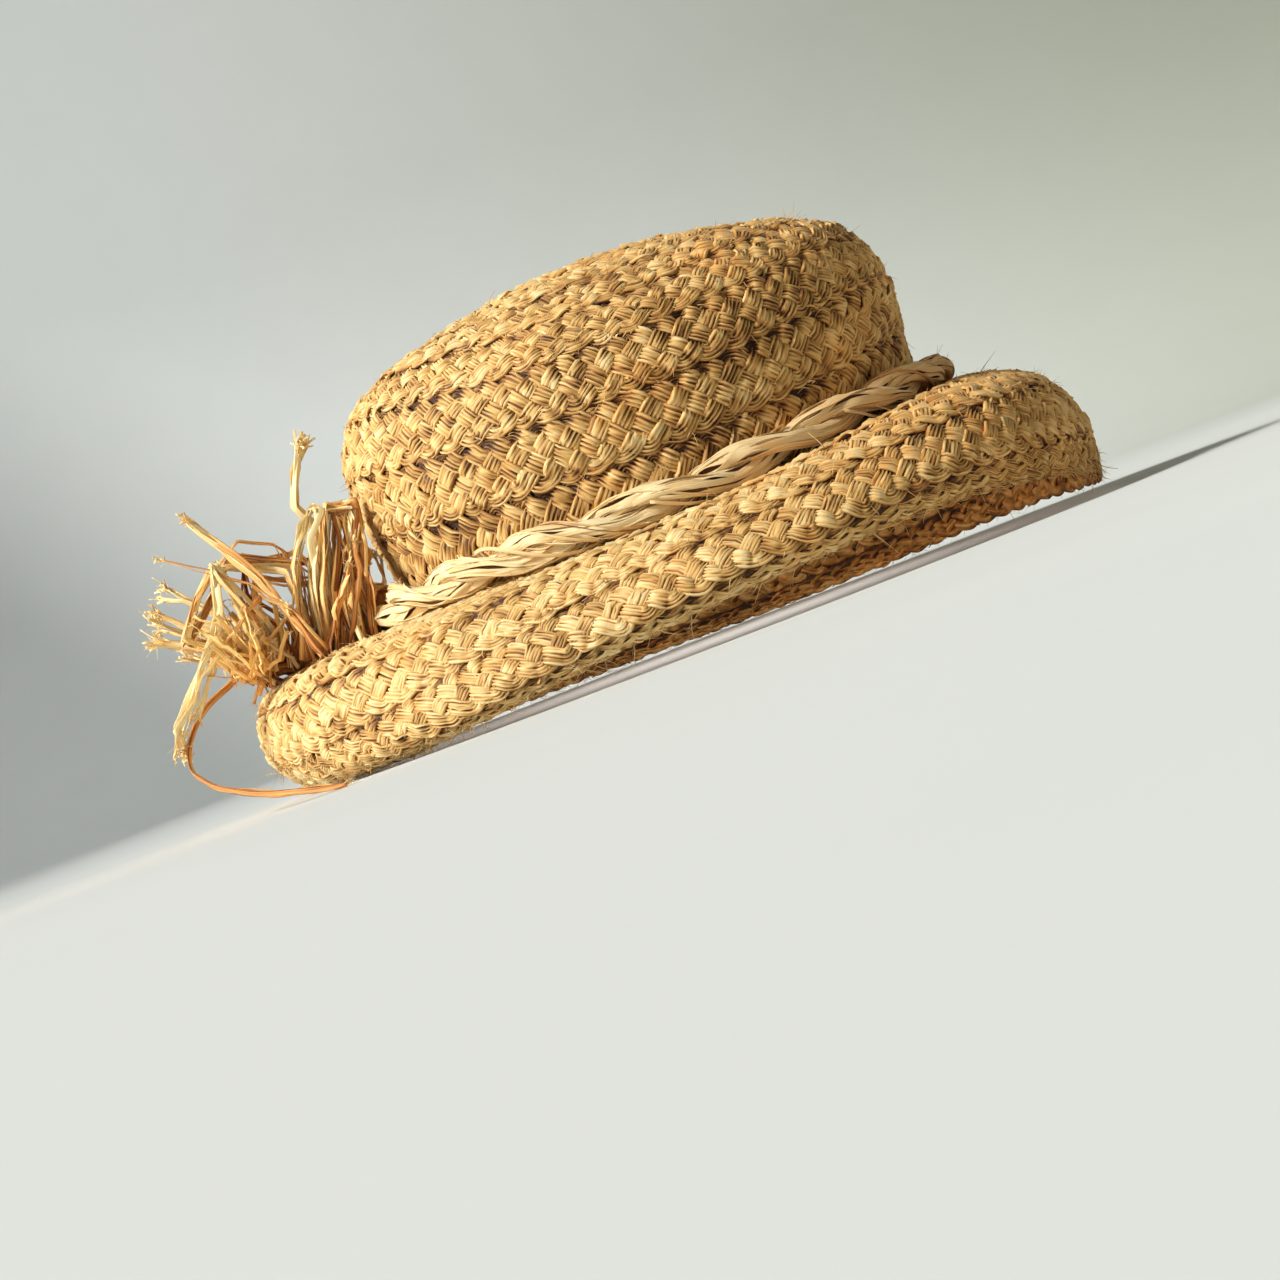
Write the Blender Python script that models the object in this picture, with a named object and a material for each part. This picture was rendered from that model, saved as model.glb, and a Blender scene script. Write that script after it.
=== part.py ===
# A floppy straw hat: flat raffia braid sewn round and round into a crown and a
# drooping brim, with a twisted raffia cord round the crown and a loose bow behind.
# The hat stands on its rim on the plane z = 0. Its front points to +X.
# Angles in plan are counted from the front, positive towards +Y, the far side.

import math

import bmesh
import bpy
import numpy as np
from mathutils import Vector

MM = 0.001

# The hat's oval centre, placed so that the bounding box is centred on the origin.
OVAL_CENTRE_X = 18.0 * MM

# Sections of the straw wall's middle surface, in millimetres, one row for each seam
# of the braid. r is the oval's half length or half width there, z the height.
# row, front r, front z, side r, side z, back r, back z
TIP, GUTTER, RIM = 0.0, 8.0, 12.5
SECTIONS = (
    (0.0, 0.0, 138.3, 0.0, 138.3, 0.0, 138.3),
    (1.0, 20.3, 137.3, 19.8, 136.8, 20.3, 137.3),
    (2.0, 40.2, 134.4, 38.8, 132.3, 40.2, 134.4),
    (3.0, 60.0, 130.2, 56.8, 125.0, 60.0, 130.2),
    (4.0, 78.6, 124.6, 72.3, 115.0, 78.6, 124.6),
    (5.0, 92.6, 115.3, 82.6, 102.4, 93.3, 115.0),
    (6.0, 99.2, 98.0, 87.8, 84.4, 100.2, 97.0),
    (7.0, 97.4, 77.5, 87.4, 64.6, 98.8, 74.5),
    (8.0, 95.8, 55.5, 85.8, 43.0, 98.0, 43.5),
    (9.0, 103.5, 52.4, 92.5, 38.2, 140.0, 40.0),
    (10.0, 119.5, 50.0, 107.0, 33.0, 158.5, 31.5),
    (11.0, 138.8, 38.5, 121.0, 20.0, 158.8, 12.3),
    (12.0, 145.2, 17.0, 131.5, 6.0, 149.5, 3.6),
    (12.5, 143.8, 4.0, 126.0, 2.4, 142.5, 3.4),
)

# Straw wall.
WALL = 3.4 * MM
ROW_SWELL = 1.5 * MM
INNER_SWELL = 0.5 * MM
SEAM_GAP = 0.5 * MM
CORD_GAP = 0.6 * MM
ROW_SAMPLES_OUTSIDE = (0.0, 0.2, 0.5, 0.8)
ROW_SAMPLES_INSIDE = (0.5,)
WALL_SIDES = 52

# The rim is lifted on the near side, where the soft brim curls up a little.
LIFT = 13.0 * MM
LIFT_CENTRE = math.radians(-65.0)
LIFT_HALF_SPAN = math.radians(75.0)
LIFT_STARTS_AT = 8.3
LIFT_FULL_AT = 11.6
# Slow waves of the rim: how many round the hat, height in metres, where the crest is.
WAVES = (
    (3, 0.7 * MM, math.radians(25.0)),
    (5, 0.4 * MM, math.radians(100.0)),
)

# Twisted cord in the gutter, two plies.
CORD_RADIUS = 5.0 * MM
CORD_LOBE = 1.25 * MM
CORD_TURNS = 9.0
CORD_SIDES = 10
CORD_RINGS = 84
CORD_CLEARANCE = 0.5 * MM

# Knot at the back, a little to the near side.
KNOT_ANGLE = math.radians(-171.0)
KNOT_LENGTH = 22.0 * MM
KNOT_RADIUS = 8.6 * MM
KNOT_WRAPS = 4
KNOT_WRAP_DEPTH = 0.6 * MM
KNOT_RINGS = 17
KNOT_SIDES = 12
KNOT_OUTWARD = 2.6 * MM
KNOT_UPWARD = 3.2 * MM

# Bow, in millimetres, with x counted from the oval's centre.
# Gathered root of the loops: centre x, y, z, half sizes.
LOOP_HEAD = (-134.0, -31.0, 50.0, 18.0, 11.0, 7.4)
# Each hank loop is a flat strip: name, width, thickness.
LOOPS = (
    ("upright", 11.0, 5.0),
    ("small", 5.5, 2.6),
    ("lying", 8.0, 3.6),
    ("low", 8.0, 3.4),
    ("far", 7.0, 3.6),
)
# The bends that a loop's middle line goes through: loop, x, y, z.
LOOP_BENDS = (
    ("upright", -128.0, -33.0, 49.0),
    ("upright", -123.0, -34.0, 64.0),
    ("upright", -118.0, -35.0, 80.0),
    ("upright", -114.5, -35.0, 85.6),
    ("upright", -108.4, -35.0, 85.8),
    ("upright", -107.4, -35.0, 79.0),
    ("upright", -112.5, -34.5, 63.0),
    ("upright", -119.0, -33.0, 49.0),
    ("small", -132.0, -26.0, 49.0),
    ("small", -125.0, -24.5, 71.0),
    ("small", -122.0, -24.0, 86.0),
    ("small", -118.5, -24.0, 88.6),
    ("small", -115.5, -24.0, 84.5),
    ("small", -120.0, -24.5, 68.0),
    ("small", -126.0, -26.0, 49.0),
    ("lying", -137.0, -32.0, 49.0),
    ("lying", -132.0, -34.0, 68.0),
    ("lying", -143.5, -35.0, 85.5),
    ("lying", -154.0, -36.0, 82.5),
    ("lying", -165.0, -37.0, 74.0),
    ("lying", -171.5, -37.0, 61.0),
    ("lying", -159.0, -36.0, 52.0),
    ("lying", -145.0, -33.0, 49.0),
    ("low", -141.0, -29.0, 49.0),
    ("low", -150.0, -27.0, 63.0),
    ("low", -162.0, -26.0, 67.0),
    ("low", -168.0, -26.0, 58.0),
    ("low", -160.0, -27.0, 50.0),
    ("low", -146.0, -29.0, 48.0),
    ("far", -128.0, -27.0, 49.5),
    ("far", -129.0, -23.0, 63.0),
    ("far", -137.0, -21.0, 75.0),
    ("far", -147.0, -21.0, 73.0),
    ("far", -150.0, -23.0, 61.0),
    ("far", -142.0, -28.0, 49.5),
)
LOOP_SAMPLES = 15

# Frayed locks: root x, y, z, tip x, y, z, sideways sag, root width, tip width, in mm.
TAIL_HEAD = (-138.0, -6.0, 50.0, 17.5, 10.5, 6.6)
LOCKS = (
    ("spray_up", -128.0, -9.0, 49.0, -110.5, -12.0, 114.0, -7.0, 5.5, 4.5),
    ("spray_left", -132.0, -9.0, 49.0, -152.5, -10.0, 98.0, 3.0, 6.0, 3.0),
    ("spray_mid", -137.0, -5.0, 49.0, -165.5, -4.0, 90.5, 3.0, 6.0, 3.0),
    ("spray_wide", -140.0, -2.0, 48.5, -174.0, 4.0, 83.0, 4.0, 8.0, 5.0),
    ("spray_low", -142.0, -8.0, 48.5, -178.0, -14.0, 72.0, 3.0, 8.0, 5.0),
    ("brush", -143.0, -6.0, 51.0, -163.0, -5.0, 62.0, 1.0, 15.0, 10.0),
)
LOCK_SAMPLES = 7
LOCK_SIDES = 6
# The long tail's route: over the brim's back edge, down, and along the ground.
LONG_TAIL = (
    (-142.0, -8.0, 49.0),
    (-152.0, -11.0, 53.0),
    (-163.0, -16.0, 47.0),
    (-174.5, -25.0, 37.0),
    (-181.3, -38.0, 27.0),
    (-182.2, -52.0, 17.0),
    (-174.5, -68.0, 8.0),
    (-154.0, -88.0, 1.7),
    (-126.0, -107.0, 1.5),
)
LONG_TAIL_RADIUS = 1.4
LONG_TAIL_SAMPLES = 22

# Edges sharper than these stay sharp: the braid's seams, and on the cord and bow the ends only.
CREASE_ANGLE = math.radians(24.0)
STRAND_CREASE_ANGLE = math.radians(55.0)

STRAW = (0.72, 0.50, 0.24, 1.0)
STRAW_SHADE = (0.66, 0.45, 0.21, 1.0)
CORD_STRAW = (0.76, 0.56, 0.29, 1.0)
BOW_STRAW = (0.56, 0.33, 0.13, 1.0)


def clear_scene():
    for obj in list(bpy.data.objects):
        bpy.data.objects.remove(obj)


def straw_material(name, colour):
    material = bpy.data.materials.new(name)
    material.use_nodes = True
    shader = material.node_tree.nodes["Principled BSDF"]
    shader.inputs["Base Color"].default_value = colour
    shader.inputs["Roughness"].default_value = 0.7
    shader.inputs["Metallic"].default_value = 0.0
    material.diffuse_color = colour
    return material


def smoothstep(x):
    x = np.clip(x, 0.0, 1.0)
    return x * x * (3.0 - 2.0 * x)


def section_values(row):
    """The six section sizes at a row coordinate, by a smooth curve through the table, in metres."""
    table = np.array(SECTIONS)
    mirror = table[1] * np.array([-1.0, -1.0, 1.0, -1.0, 1.0, -1.0, 1.0])
    table = np.vstack([mirror, table])
    knots, values = table[:, 0], table[:, 1:] * MM
    chords = np.diff(values, axis=0) / np.diff(knots)[:, None]
    slopes = np.vstack([chords[:1], (chords[1:] + chords[:-1]) / 2, chords[-1:]])
    # Each section's slope is no steeper than its shorter neighbouring chord, so no bend loops.
    for pair in (slice(0, 2), slice(2, 4), slice(4, 6)):
        lengths = np.linalg.norm(chords[:, pair], axis=1)
        most = np.r_[lengths[0], np.minimum(lengths[1:], lengths[:-1]), lengths[-1]]
        steep = np.linalg.norm(slopes[:, pair], axis=1)
        slopes[:, pair] *= (most / np.maximum(steep, 1e-9))[:, None]
    row = np.clip(row, TIP, RIM)
    at = np.clip(np.searchsorted(knots, row, side="right") - 1, 0, len(knots) - 2)
    step = knots[at + 1] - knots[at]
    u = ((row - knots[at]) / step)[..., None]
    step = step[..., None]
    return (
        values[at] * (1 + 2 * u) * (1 - u) ** 2
        + slopes[at] * step * u * (1 - u) ** 2
        + values[at + 1] * u * u * (3 - 2 * u)
        + slopes[at + 1] * step * u * u * (u - 1)
    )


def rim_lift(row, angle):
    """How far the soft brim stands above its plain form, from nothing at the crown to all at the rim."""
    turn = (angle - LIFT_CENTRE + math.pi) % (2 * math.pi) - math.pi
    inside = np.clip(turn / LIFT_HALF_SPAN, -1.0, 1.0)
    height = LIFT * np.cos(inside * math.pi / 2) ** 2
    for count, depth, crest in WAVES:
        height = height + depth * (1 + np.cos(count * (angle - crest)))
    return height * smoothstep((row - LIFT_STARTS_AT) / (LIFT_FULL_AT - LIFT_STARTS_AT))


def wall_point(row, angle):
    """A point of the wall's middle surface."""
    row, angle = np.broadcast_arrays(np.asarray(row, float), np.asarray(angle, float))
    front_r, front_z, side_r, side_z, back_r, back_z = np.moveaxis(section_values(row), -1, 0)
    ahead = np.cos(angle)
    length = np.where(ahead >= 0, front_r, back_r)
    height = np.where(ahead >= 0, front_z, back_z)
    z = side_z + (height - side_z) * ahead**2 + rim_lift(row, angle)
    x = OVAL_CENTRE_X + length * ahead
    return np.stack([x, side_r * np.sin(angle), z], axis=-1)


def wall_frame(row, angle):
    """The wall's unit direction across the rows, towards the rim, and its outward normal."""
    row, angle = np.broadcast_arrays(np.asarray(row, float), np.asarray(angle, float))
    row = np.maximum(row, 0.02)
    small = 0.01
    down = wall_point(np.minimum(row + small, RIM), angle) - wall_point(row - small, angle)
    down = down / np.linalg.norm(down, axis=-1, keepdims=True)
    round_ = wall_point(row, angle + small) - wall_point(row, angle - small)
    normal = np.cross(down, round_)
    return down, normal / np.linalg.norm(normal, axis=-1, keepdims=True)


def row_swell(row):
    """A braid's rounded cross profile: 0 at its seams, 1 along its middle."""
    return np.abs(np.sin(math.pi * row)) ** 0.6


def wall_ring(row, outside, shift=0.0):
    """One closed ring of the wall's outer or inner surface, shifted towards the rim."""
    angle = np.arange(WALL_SIDES) * 2 * math.pi / WALL_SIDES
    if outside:
        offset = WALL / 2 + ROW_SWELL * row_swell(row)
    else:
        offset = -WALL / 2 - INNER_SWELL * row_swell(row)
    down, normal = wall_frame(row, angle)
    return wall_point(row, angle) + down * shift + normal * offset


def ring_rows(first, last, samples):
    """Row coordinates of the rings that lie between two rows."""
    rows = [whole + part for whole in range(int(first), int(last) + 1) for part in samples]
    return [row for row in rows if first < row < last]


def mesh_object(name, bm, material, sharp_from=CREASE_ANGLE):
    """An object from a bmesh, with its faces turned outwards."""
    bmesh.ops.recalc_face_normals(bm, faces=bm.faces)
    mesh = bpy.data.meshes.new(name)
    bm.to_mesh(mesh)
    bm.free()
    if mesh_volume(mesh) < 0:
        mesh.flip_normals()
    mesh.materials.append(material)
    mesh.shade_smooth()
    mesh.set_sharp_from_angle(angle=sharp_from)
    obj = bpy.data.objects.new(name, mesh)
    bpy.context.scene.collection.objects.link(obj)
    return obj


def mesh_volume(mesh):
    mesh.calc_loop_triangles()
    corners = [[mesh.vertices[i].co for i in tri.vertices] for tri in mesh.loop_triangles]
    return sum(a.dot(b.cross(c)) for a, b, c in corners) / 6


def skin_rings(bm, rings, closed_end=False):
    """Quads between successive rings of equal count."""
    made = [[bm.verts.new(Vector(point)) for point in ring] for ring in rings]
    pairs = list(zip(made[:-1], made[1:]))
    if closed_end:
        pairs.append((made[-1], made[0]))
    for first, second in pairs:
        count = len(first)
        for i in range(count):
            j = (i + 1) % count
            bm.faces.new((first[i], first[j], second[j], second[i]))
    return made


def fan(bm, ring, centre):
    """Triangles from a ring to one point."""
    apex = bm.verts.new(Vector(centre))
    for i, vertex in enumerate(ring):
        bm.faces.new((vertex, ring[(i + 1) % len(ring)], apex))


def wall_rings(first, last, first_shift=0.0, last_shift=0.0):
    """Rings down the outside from one row to another, then back up the inside."""
    outer = [wall_ring(row, True) for row in ring_rows(first, last, ROW_SAMPLES_OUTSIDE)]
    inner = [wall_ring(row, False) for row in ring_rows(first, last, ROW_SAMPLES_INSIDE)]
    rings = outer + [wall_ring(last, True, last_shift), wall_ring(last, False, last_shift)]
    rings = rings + inner[::-1]
    if first > TIP:
        rings = [wall_ring(first, True, first_shift)] + rings
        rings = rings + [wall_ring(first, False, first_shift)]
    return rings


def make_crown(material):
    """From the tip down to the gutter: an open-bottomed shell with a rib for each round of braid."""
    bm = bmesh.new()
    made = skin_rings(bm, wall_rings(TIP, GUTTER, last_shift=-SEAM_GAP / 2))
    tip = wall_point(TIP, 0.0)
    fan(bm, made[0], tip + np.array([0, 0, WALL / 2]))
    fan(bm, made[-1], tip - np.array([0, 0, WALL / 2]))
    return mesh_object("crown", bm, material)


def make_brim(material):
    """From the gutter out and down to the rim, a closed ring with a rib for each round."""
    bm = bmesh.new()
    skin_rings(bm, wall_rings(GUTTER, RIM, first_shift=SEAM_GAP / 2), closed_end=True)
    return mesh_object("brim", bm, material)


def gutter_line(angle, radius, outward=0.0, upward=0.0):
    """A cord's centre line: against the crown wall, and dropped until it rests on the brim."""
    rows = np.linspace(GUTTER - 0.7, GUTTER + 2.0, 55)[:, None]
    skin = wall_point(rows, angle[None, :])
    skin = skin + wall_frame(rows, angle[None, :])[1] * (WALL / 2 + ROW_SWELL)
    from_axis = np.hypot(skin[..., 0] - OVAL_CENTRE_X, skin[..., 1])
    reach = radius + CORD_CLEARANCE
    wall = rows[:, 0] <= GUTTER
    # Across an oval the plan distance along a ray stands in for the distance to the wall.
    out = from_axis[wall].max(axis=0) + reach
    under = np.sqrt(np.clip(reach**2 - (from_axis - out) ** 2, 0.0, None))
    z = np.where(~wall[:, None] & (under > 0), skin[..., 2] + under, -1.0).max(axis=0)
    ray = skin[0] - np.array([OVAL_CENTRE_X, 0.0, 0.0])
    ray = ray[:, :2] / np.hypot(ray[:, 0], ray[:, 1])[:, None]
    away = ray * (out + outward)[:, None]
    return np.stack([OVAL_CENTRE_X + away[:, 0], away[:, 1], z + upward], axis=-1)


def path_frames(points):
    """Unit tangents with two cross directions carried along without twist."""
    tangents = np.gradient(points, axis=0)
    tangents /= np.linalg.norm(tangents, axis=1, keepdims=True)
    side = np.cross(tangents[0], [0.0, 0.0, 1.0])
    if np.linalg.norm(side) < 0.2:
        side = np.cross(tangents[0], [0.0, 1.0, 0.0])
    sides = []
    for tangent in tangents:
        side = side - tangent * side.dot(tangent)
        side = side / np.linalg.norm(side)
        sides.append(side)
    sides = np.array(sides)
    return tangents, sides, np.cross(tangents, sides)


def sweep(bm, points, half_widths, half_depths, sides, twist=None):
    """A closed tube of elliptical section along a path, with flat caps."""
    tangents, across, up = path_frames(points)
    corner = np.arange(sides) * 2 * math.pi / sides
    rings = []
    for i, centre in enumerate(points):
        turn = corner + (twist[i] if twist is not None else 0.0)
        wide = np.cos(turn)[:, None] * half_widths[i] * across[i]
        deep = np.sin(turn)[:, None] * half_depths[i] * up[i]
        rings.append(centre + wide + deep)
    made = skin_rings(bm, rings)
    fan(bm, made[0], points[0])
    fan(bm, made[-1], points[-1])


def make_twisted_band(material):
    """Two plies laid round each other, from one side of the knot right round to the other."""
    radius = 100.0 * MM
    half_gap = (KNOT_LENGTH / 2 + CORD_GAP) / radius
    angle = KNOT_ANGLE + np.linspace(half_gap, 2 * math.pi - half_gap, CORD_RINGS)
    points = gutter_line(angle, CORD_RADIUS + CORD_LOBE)
    tangents, across, up = path_frames(points)
    corner = np.arange(CORD_SIDES) * 2 * math.pi / CORD_SIDES
    rings = []
    for i, centre in enumerate(points):
        turn = CORD_TURNS * 2 * math.pi * i / (CORD_RINGS - 1)
        reach = CORD_RADIUS + CORD_LOBE * np.cos(2 * (corner - turn))
        wide = (np.cos(corner) * reach)[:, None] * across[i]
        deep = (np.sin(corner) * reach)[:, None] * up[i]
        rings.append(centre + wide + deep)
    bm = bmesh.new()
    made = skin_rings(bm, rings)
    fan(bm, made[0], points[0])
    fan(bm, made[-1], points[-1])
    return mesh_object("twisted_band", bm, material, STRAND_CREASE_ANGLE)


def make_bow_knot(material):
    """The wrapped knot in line with the cord, thicker than the cord and ridged by its wraps."""
    radius = 100.0 * MM
    half = KNOT_LENGTH / 2 / radius
    angle = KNOT_ANGLE + np.linspace(-half, half, KNOT_RINGS)
    along = np.linspace(-1.0, 1.0, KNOT_RINGS)
    bulge = np.cos(along * math.pi / 2)
    cord = CORD_RADIUS + CORD_LOBE
    points = gutter_line(angle, cord, KNOT_OUTWARD * bulge**2, KNOT_UPWARD * bulge**2)
    reach = CORD_RADIUS + (KNOT_RADIUS - CORD_RADIUS) * np.sqrt(bulge)
    reach = reach - KNOT_WRAP_DEPTH * bulge * np.cos(along * math.pi * KNOT_WRAPS)
    bm = bmesh.new()
    sweep(bm, points, reach, reach, KNOT_SIDES)
    return mesh_object("bow_knot", bm, material, STRAND_CREASE_ANGLE)


def smooth_route(route, count):
    """Points read from a smooth curve through the route's own points, evenly by chord."""
    route = np.array(route)
    chord = np.r_[0, np.cumsum(np.linalg.norm(np.diff(route, axis=0), axis=1))]
    slopes = np.gradient(route, chord, axis=0)
    places = np.linspace(0, chord[-1], count)
    at = np.clip(np.searchsorted(chord, places, side="right") - 1, 0, len(chord) - 2)
    step = chord[at + 1] - chord[at]
    u = ((places - chord[at]) / step)[:, None]
    step = step[:, None]
    return (
        route[at] * (1 + 2 * u) * (1 - u) ** 2
        + slopes[at] * step * u * (1 - u) ** 2
        + route[at + 1] * u * u * (3 - 2 * u)
        + slopes[at + 1] * step * u * u * (u - 1)
    )


def lock_route(root, tip, sag):
    """A lock from root to tip, bowed to one side."""
    root, tip = np.array(root), np.array(tip)
    u = np.linspace(0, 1, LOCK_SAMPLES)[:, None]
    bow = np.array([0.8, 0.3, 0.5]) * sag
    return root + (tip - root) * u + bow * np.sin(math.pi * u)


def head_object(name, place, material):
    """The gathered root that loops or locks are fused to."""
    x, y, z, half_x, half_y, half_z = (value * MM for value in place)
    bm = bmesh.new()
    bmesh.ops.create_uvsphere(bm, u_segments=12, v_segments=8, radius=1.0)
    for vertex in bm.verts:
        co = vertex.co
        vertex.co = Vector((x + co.x * half_x, y + co.y * half_y, z + co.z * half_z))
    bmesh.ops.translate(bm, verts=bm.verts, vec=(OVAL_CENTRE_X, 0, 0))
    return mesh_object(name, bm, material, STRAND_CREASE_ANGLE)


def fuse(head, bm, name, material):
    """Unites a strip with the head, by a Boolean that stays on the head."""
    bmesh.ops.translate(bm, verts=bm.verts, vec=(OVAL_CENTRE_X, 0, 0))
    strip = mesh_object(name, bm, material, STRAND_CREASE_ANGLE)
    strip.hide_render = True
    strip.display_type = "WIRE"
    joined = head.modifiers.new(name, "BOOLEAN")
    joined.operation = "UNION"
    joined.object = strip


def make_bow_loops(material):
    head = head_object("bow_loops", LOOP_HEAD, material)
    for name, width, thickness in LOOPS:
        bends = [(x, y, z) for loop, x, y, z in LOOP_BENDS if loop == name]
        route = smooth_route(np.array(bends) * MM, LOOP_SAMPLES)
        wide = np.full(len(route), width / 2 * MM)
        thick = np.full(len(route), thickness / 2 * MM)
        bm = bmesh.new()
        sweep(bm, route, wide, thick, LOCK_SIDES)
        fuse(head, bm, "guide_loop_" + name, material)
    return head


def make_bow_tails(material):
    head = head_object("bow_tails", TAIL_HEAD, material)
    for name, x, y, z, tip_x, tip_y, tip_z, sag, root_width, tip_width in LOCKS:
        route = lock_route((x, y, z), (tip_x, tip_y, tip_z), sag) * MM
        wide = np.linspace(root_width, tip_width, len(route)) / 2 * MM
        bm = bmesh.new()
        sweep(bm, route, wide, wide * 0.8, LOCK_SIDES)
        fuse(head, bm, "guide_lock_" + name, material)
    route = smooth_route(np.array(LONG_TAIL) * MM, LONG_TAIL_SAMPLES)
    route[:, 2] = np.maximum(route[:, 2], (LONG_TAIL_RADIUS + 0.1) * MM)
    radius = np.full(len(route), LONG_TAIL_RADIUS * MM)
    bm = bmesh.new()
    sweep(bm, route, radius, radius, LOCK_SIDES)
    fuse(head, bm, "guide_lock_long", material)
    return head


def main():
    clear_scene()
    make_crown(straw_material("crown_straw", STRAW))
    make_brim(straw_material("brim_straw", STRAW_SHADE))
    make_twisted_band(straw_material("cord_straw", CORD_STRAW))
    make_bow_knot(straw_material("knot_straw", BOW_STRAW))
    make_bow_loops(straw_material("loop_straw", BOW_STRAW))
    make_bow_tails(straw_material("tail_straw", BOW_STRAW))


main()
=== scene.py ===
import math

import bpy
import numpy as np
from mathutils import Matrix, Vector


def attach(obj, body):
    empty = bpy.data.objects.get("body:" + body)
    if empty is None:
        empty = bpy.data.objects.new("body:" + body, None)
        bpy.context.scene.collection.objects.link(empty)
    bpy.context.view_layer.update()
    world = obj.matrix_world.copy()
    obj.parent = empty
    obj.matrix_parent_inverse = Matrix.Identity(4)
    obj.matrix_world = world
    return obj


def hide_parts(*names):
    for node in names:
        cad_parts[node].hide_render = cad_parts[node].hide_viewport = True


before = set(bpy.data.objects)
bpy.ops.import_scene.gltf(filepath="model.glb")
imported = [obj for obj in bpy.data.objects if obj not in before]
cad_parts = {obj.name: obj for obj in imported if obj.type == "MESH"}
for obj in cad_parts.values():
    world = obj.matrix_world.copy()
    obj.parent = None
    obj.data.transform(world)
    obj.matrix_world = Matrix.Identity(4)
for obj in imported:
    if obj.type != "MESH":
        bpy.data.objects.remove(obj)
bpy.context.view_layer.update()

# Lengths in this script are in millimetres until a mesh is made. Plan angles are counted
# from the front (+X), positive towards the far side (+Y).
MM = 0.001
TAU = 2 * math.pi
SEED = 20261

# The wall that the braid follows: the same sections as the solid model's.
OVAL_CENTRE_X = 18.0
TIP, GUTTER, RIM = 0.0, 8.0, 12.5
# row, front r, front z, side r, side z, back r, back z
SECTIONS = np.array((
    (0.0, 0.0, 138.3, 0.0, 138.3, 0.0, 138.3),
    (1.0, 20.3, 137.3, 19.8, 136.8, 20.3, 137.3),
    (2.0, 40.2, 134.4, 38.8, 132.3, 40.2, 134.4),
    (3.0, 60.0, 130.2, 56.8, 125.0, 60.0, 130.2),
    (4.0, 78.6, 124.6, 72.3, 115.0, 78.6, 124.6),
    (5.0, 92.6, 115.3, 82.6, 102.4, 93.3, 115.0),
    (6.0, 99.2, 98.0, 87.8, 84.4, 100.2, 97.0),
    (7.0, 97.4, 77.5, 87.4, 64.6, 98.8, 74.5),
    (8.0, 95.8, 55.5, 85.8, 43.0, 98.0, 43.5),
    (9.0, 103.5, 52.4, 92.5, 38.2, 140.0, 40.0),
    (10.0, 119.5, 50.0, 107.0, 33.0, 158.5, 31.5),
    (11.0, 138.8, 38.5, 121.0, 20.0, 158.8, 12.3),
    (12.0, 145.2, 17.0, 131.5, 6.0, 149.5, 3.6),
    (12.5, 143.8, 4.0, 126.0, 2.4, 142.5, 3.4),
))
LIFT, LIFT_CENTRE, LIFT_HALF_SPAN = 13.0, math.radians(-65.0), math.radians(75.0)
LIFT_STARTS_AT, LIFT_FULL_AT = 8.3, 11.6
WAVES = ((3, 0.7, math.radians(25.0)), (5, 0.4, math.radians(100.0)))
WALL, ROW_SWELL = 3.4, 1.5

# Cord, knot and bow, as in the solid model.
CORD_RADIUS, CORD_LOBE, CORD_CLEARANCE, CORD_TURNS = 5.0, 1.25, 0.5, 9.0
KNOT_ANGLE, KNOT_LENGTH = math.radians(-171.0), 22.0
KNOT_OUTWARD, KNOT_UPWARD = 2.6, 3.2
# Bow strands, each group along one folded route: number of strands, scatter of the bends,
# half width of a strand, tone, frayed length, y at the root and at the end, then the bends
# as x, z pairs from the root on, with x counted from the oval's centre.
# A group's tone is partly its raffia's own and partly painted light: groups on the hank's lit left
# are paler, and those inside and on its right darker, as painted shade.
LOOP_ROUTES = (
    (15, 0.9, 1.35, 0.62, 0, -33, -33, ((-124, 41), (-120, 64), (-113.5, 80), (-109, 89),
     (-101.5, 87.5), (-102.5, 81), (-108, 70), (-114, 57), (-115, 42))),
    (12, 1.5, 1.25, 0.44, 0, -29, -30, ((-121, 41), (-117, 62), (-110, 80), (-106, 87), (-101, 85),
     (-103, 72), (-106, 60), (-110, 41))),
    (6, 1.6, 1.1, 0.32, 3, -31, -31, ((-115, 41), (-108, 60), (-106, 74))),
    (6, 1.8, 0.95, 0.52, 3, -37, -36, ((-124, 43), (-118, 56), (-107, 73))),
    (7, 0.9, 1.05, 0.74, 0, -36, -34, ((-132, 43), (-131, 60), (-126.5, 74), (-119, 86),
     (-114, 91), (-111.5, 89.5), (-117, 81), (-121.5, 72), (-125, 60), (-126, 43))),
    (3, 0.6, 0.9, 0.46, 0, -28, -30, ((-127, 43), (-128.5, 69), (-128.5, 82), (-131, 85),
     (-142.5, 90), (-151, 84.5), (-162, 77), (-170, 64.5), (-163.5, 60.5), (-157, 52),
     (-150, 42))),
    (4, 0.9, 1, 0.5, 0, -26, -27, ((-125, 44), (-122, 70), (-126, 80), (-139, 81.5), (-143.5, 86),
     (-152.5, 84.5), (-159, 74.5), (-170.5, 65), (-163, 60), (-153, 44))),
    (5, 0.8, 1.3, 0.76, 0, -33, -35, ((-132, 44), (-128, 74), (-145, 83), (-152.5, 84),
     (-162, 76.5), (-170.5, 64.5), (-160, 58), (-149, 44))),
    (4, 0.8, 1.35, 0.64, 0, -31, -33, ((-130, 44), (-124, 75), (-145.5, 86.5), (-153, 79),
     (-159, 74), (-170, 63.5), (-158, 55), (-147, 43))),
    (5, 1.2, 0.9, 0.55, 0, -24, -24, ((-128, 44), (-123, 68), (-132, 72), (-142, 77), (-147, 66),
     (-140, 56), (-141, 43))),
    (4, 1.2, 0.9, 0.36, 0, -22, -22, ((-131, 44), (-121, 75), (-133, 79), (-143.5, 84), (-145, 72),
     (-137, 60), (-136, 43))),
    (3, 0.7, 0.8, 0.52, 2.5, -20, -20, ((-110, 42), (-107.5, 48), (-101, 60), (-99.5, 70))),
)
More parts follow.
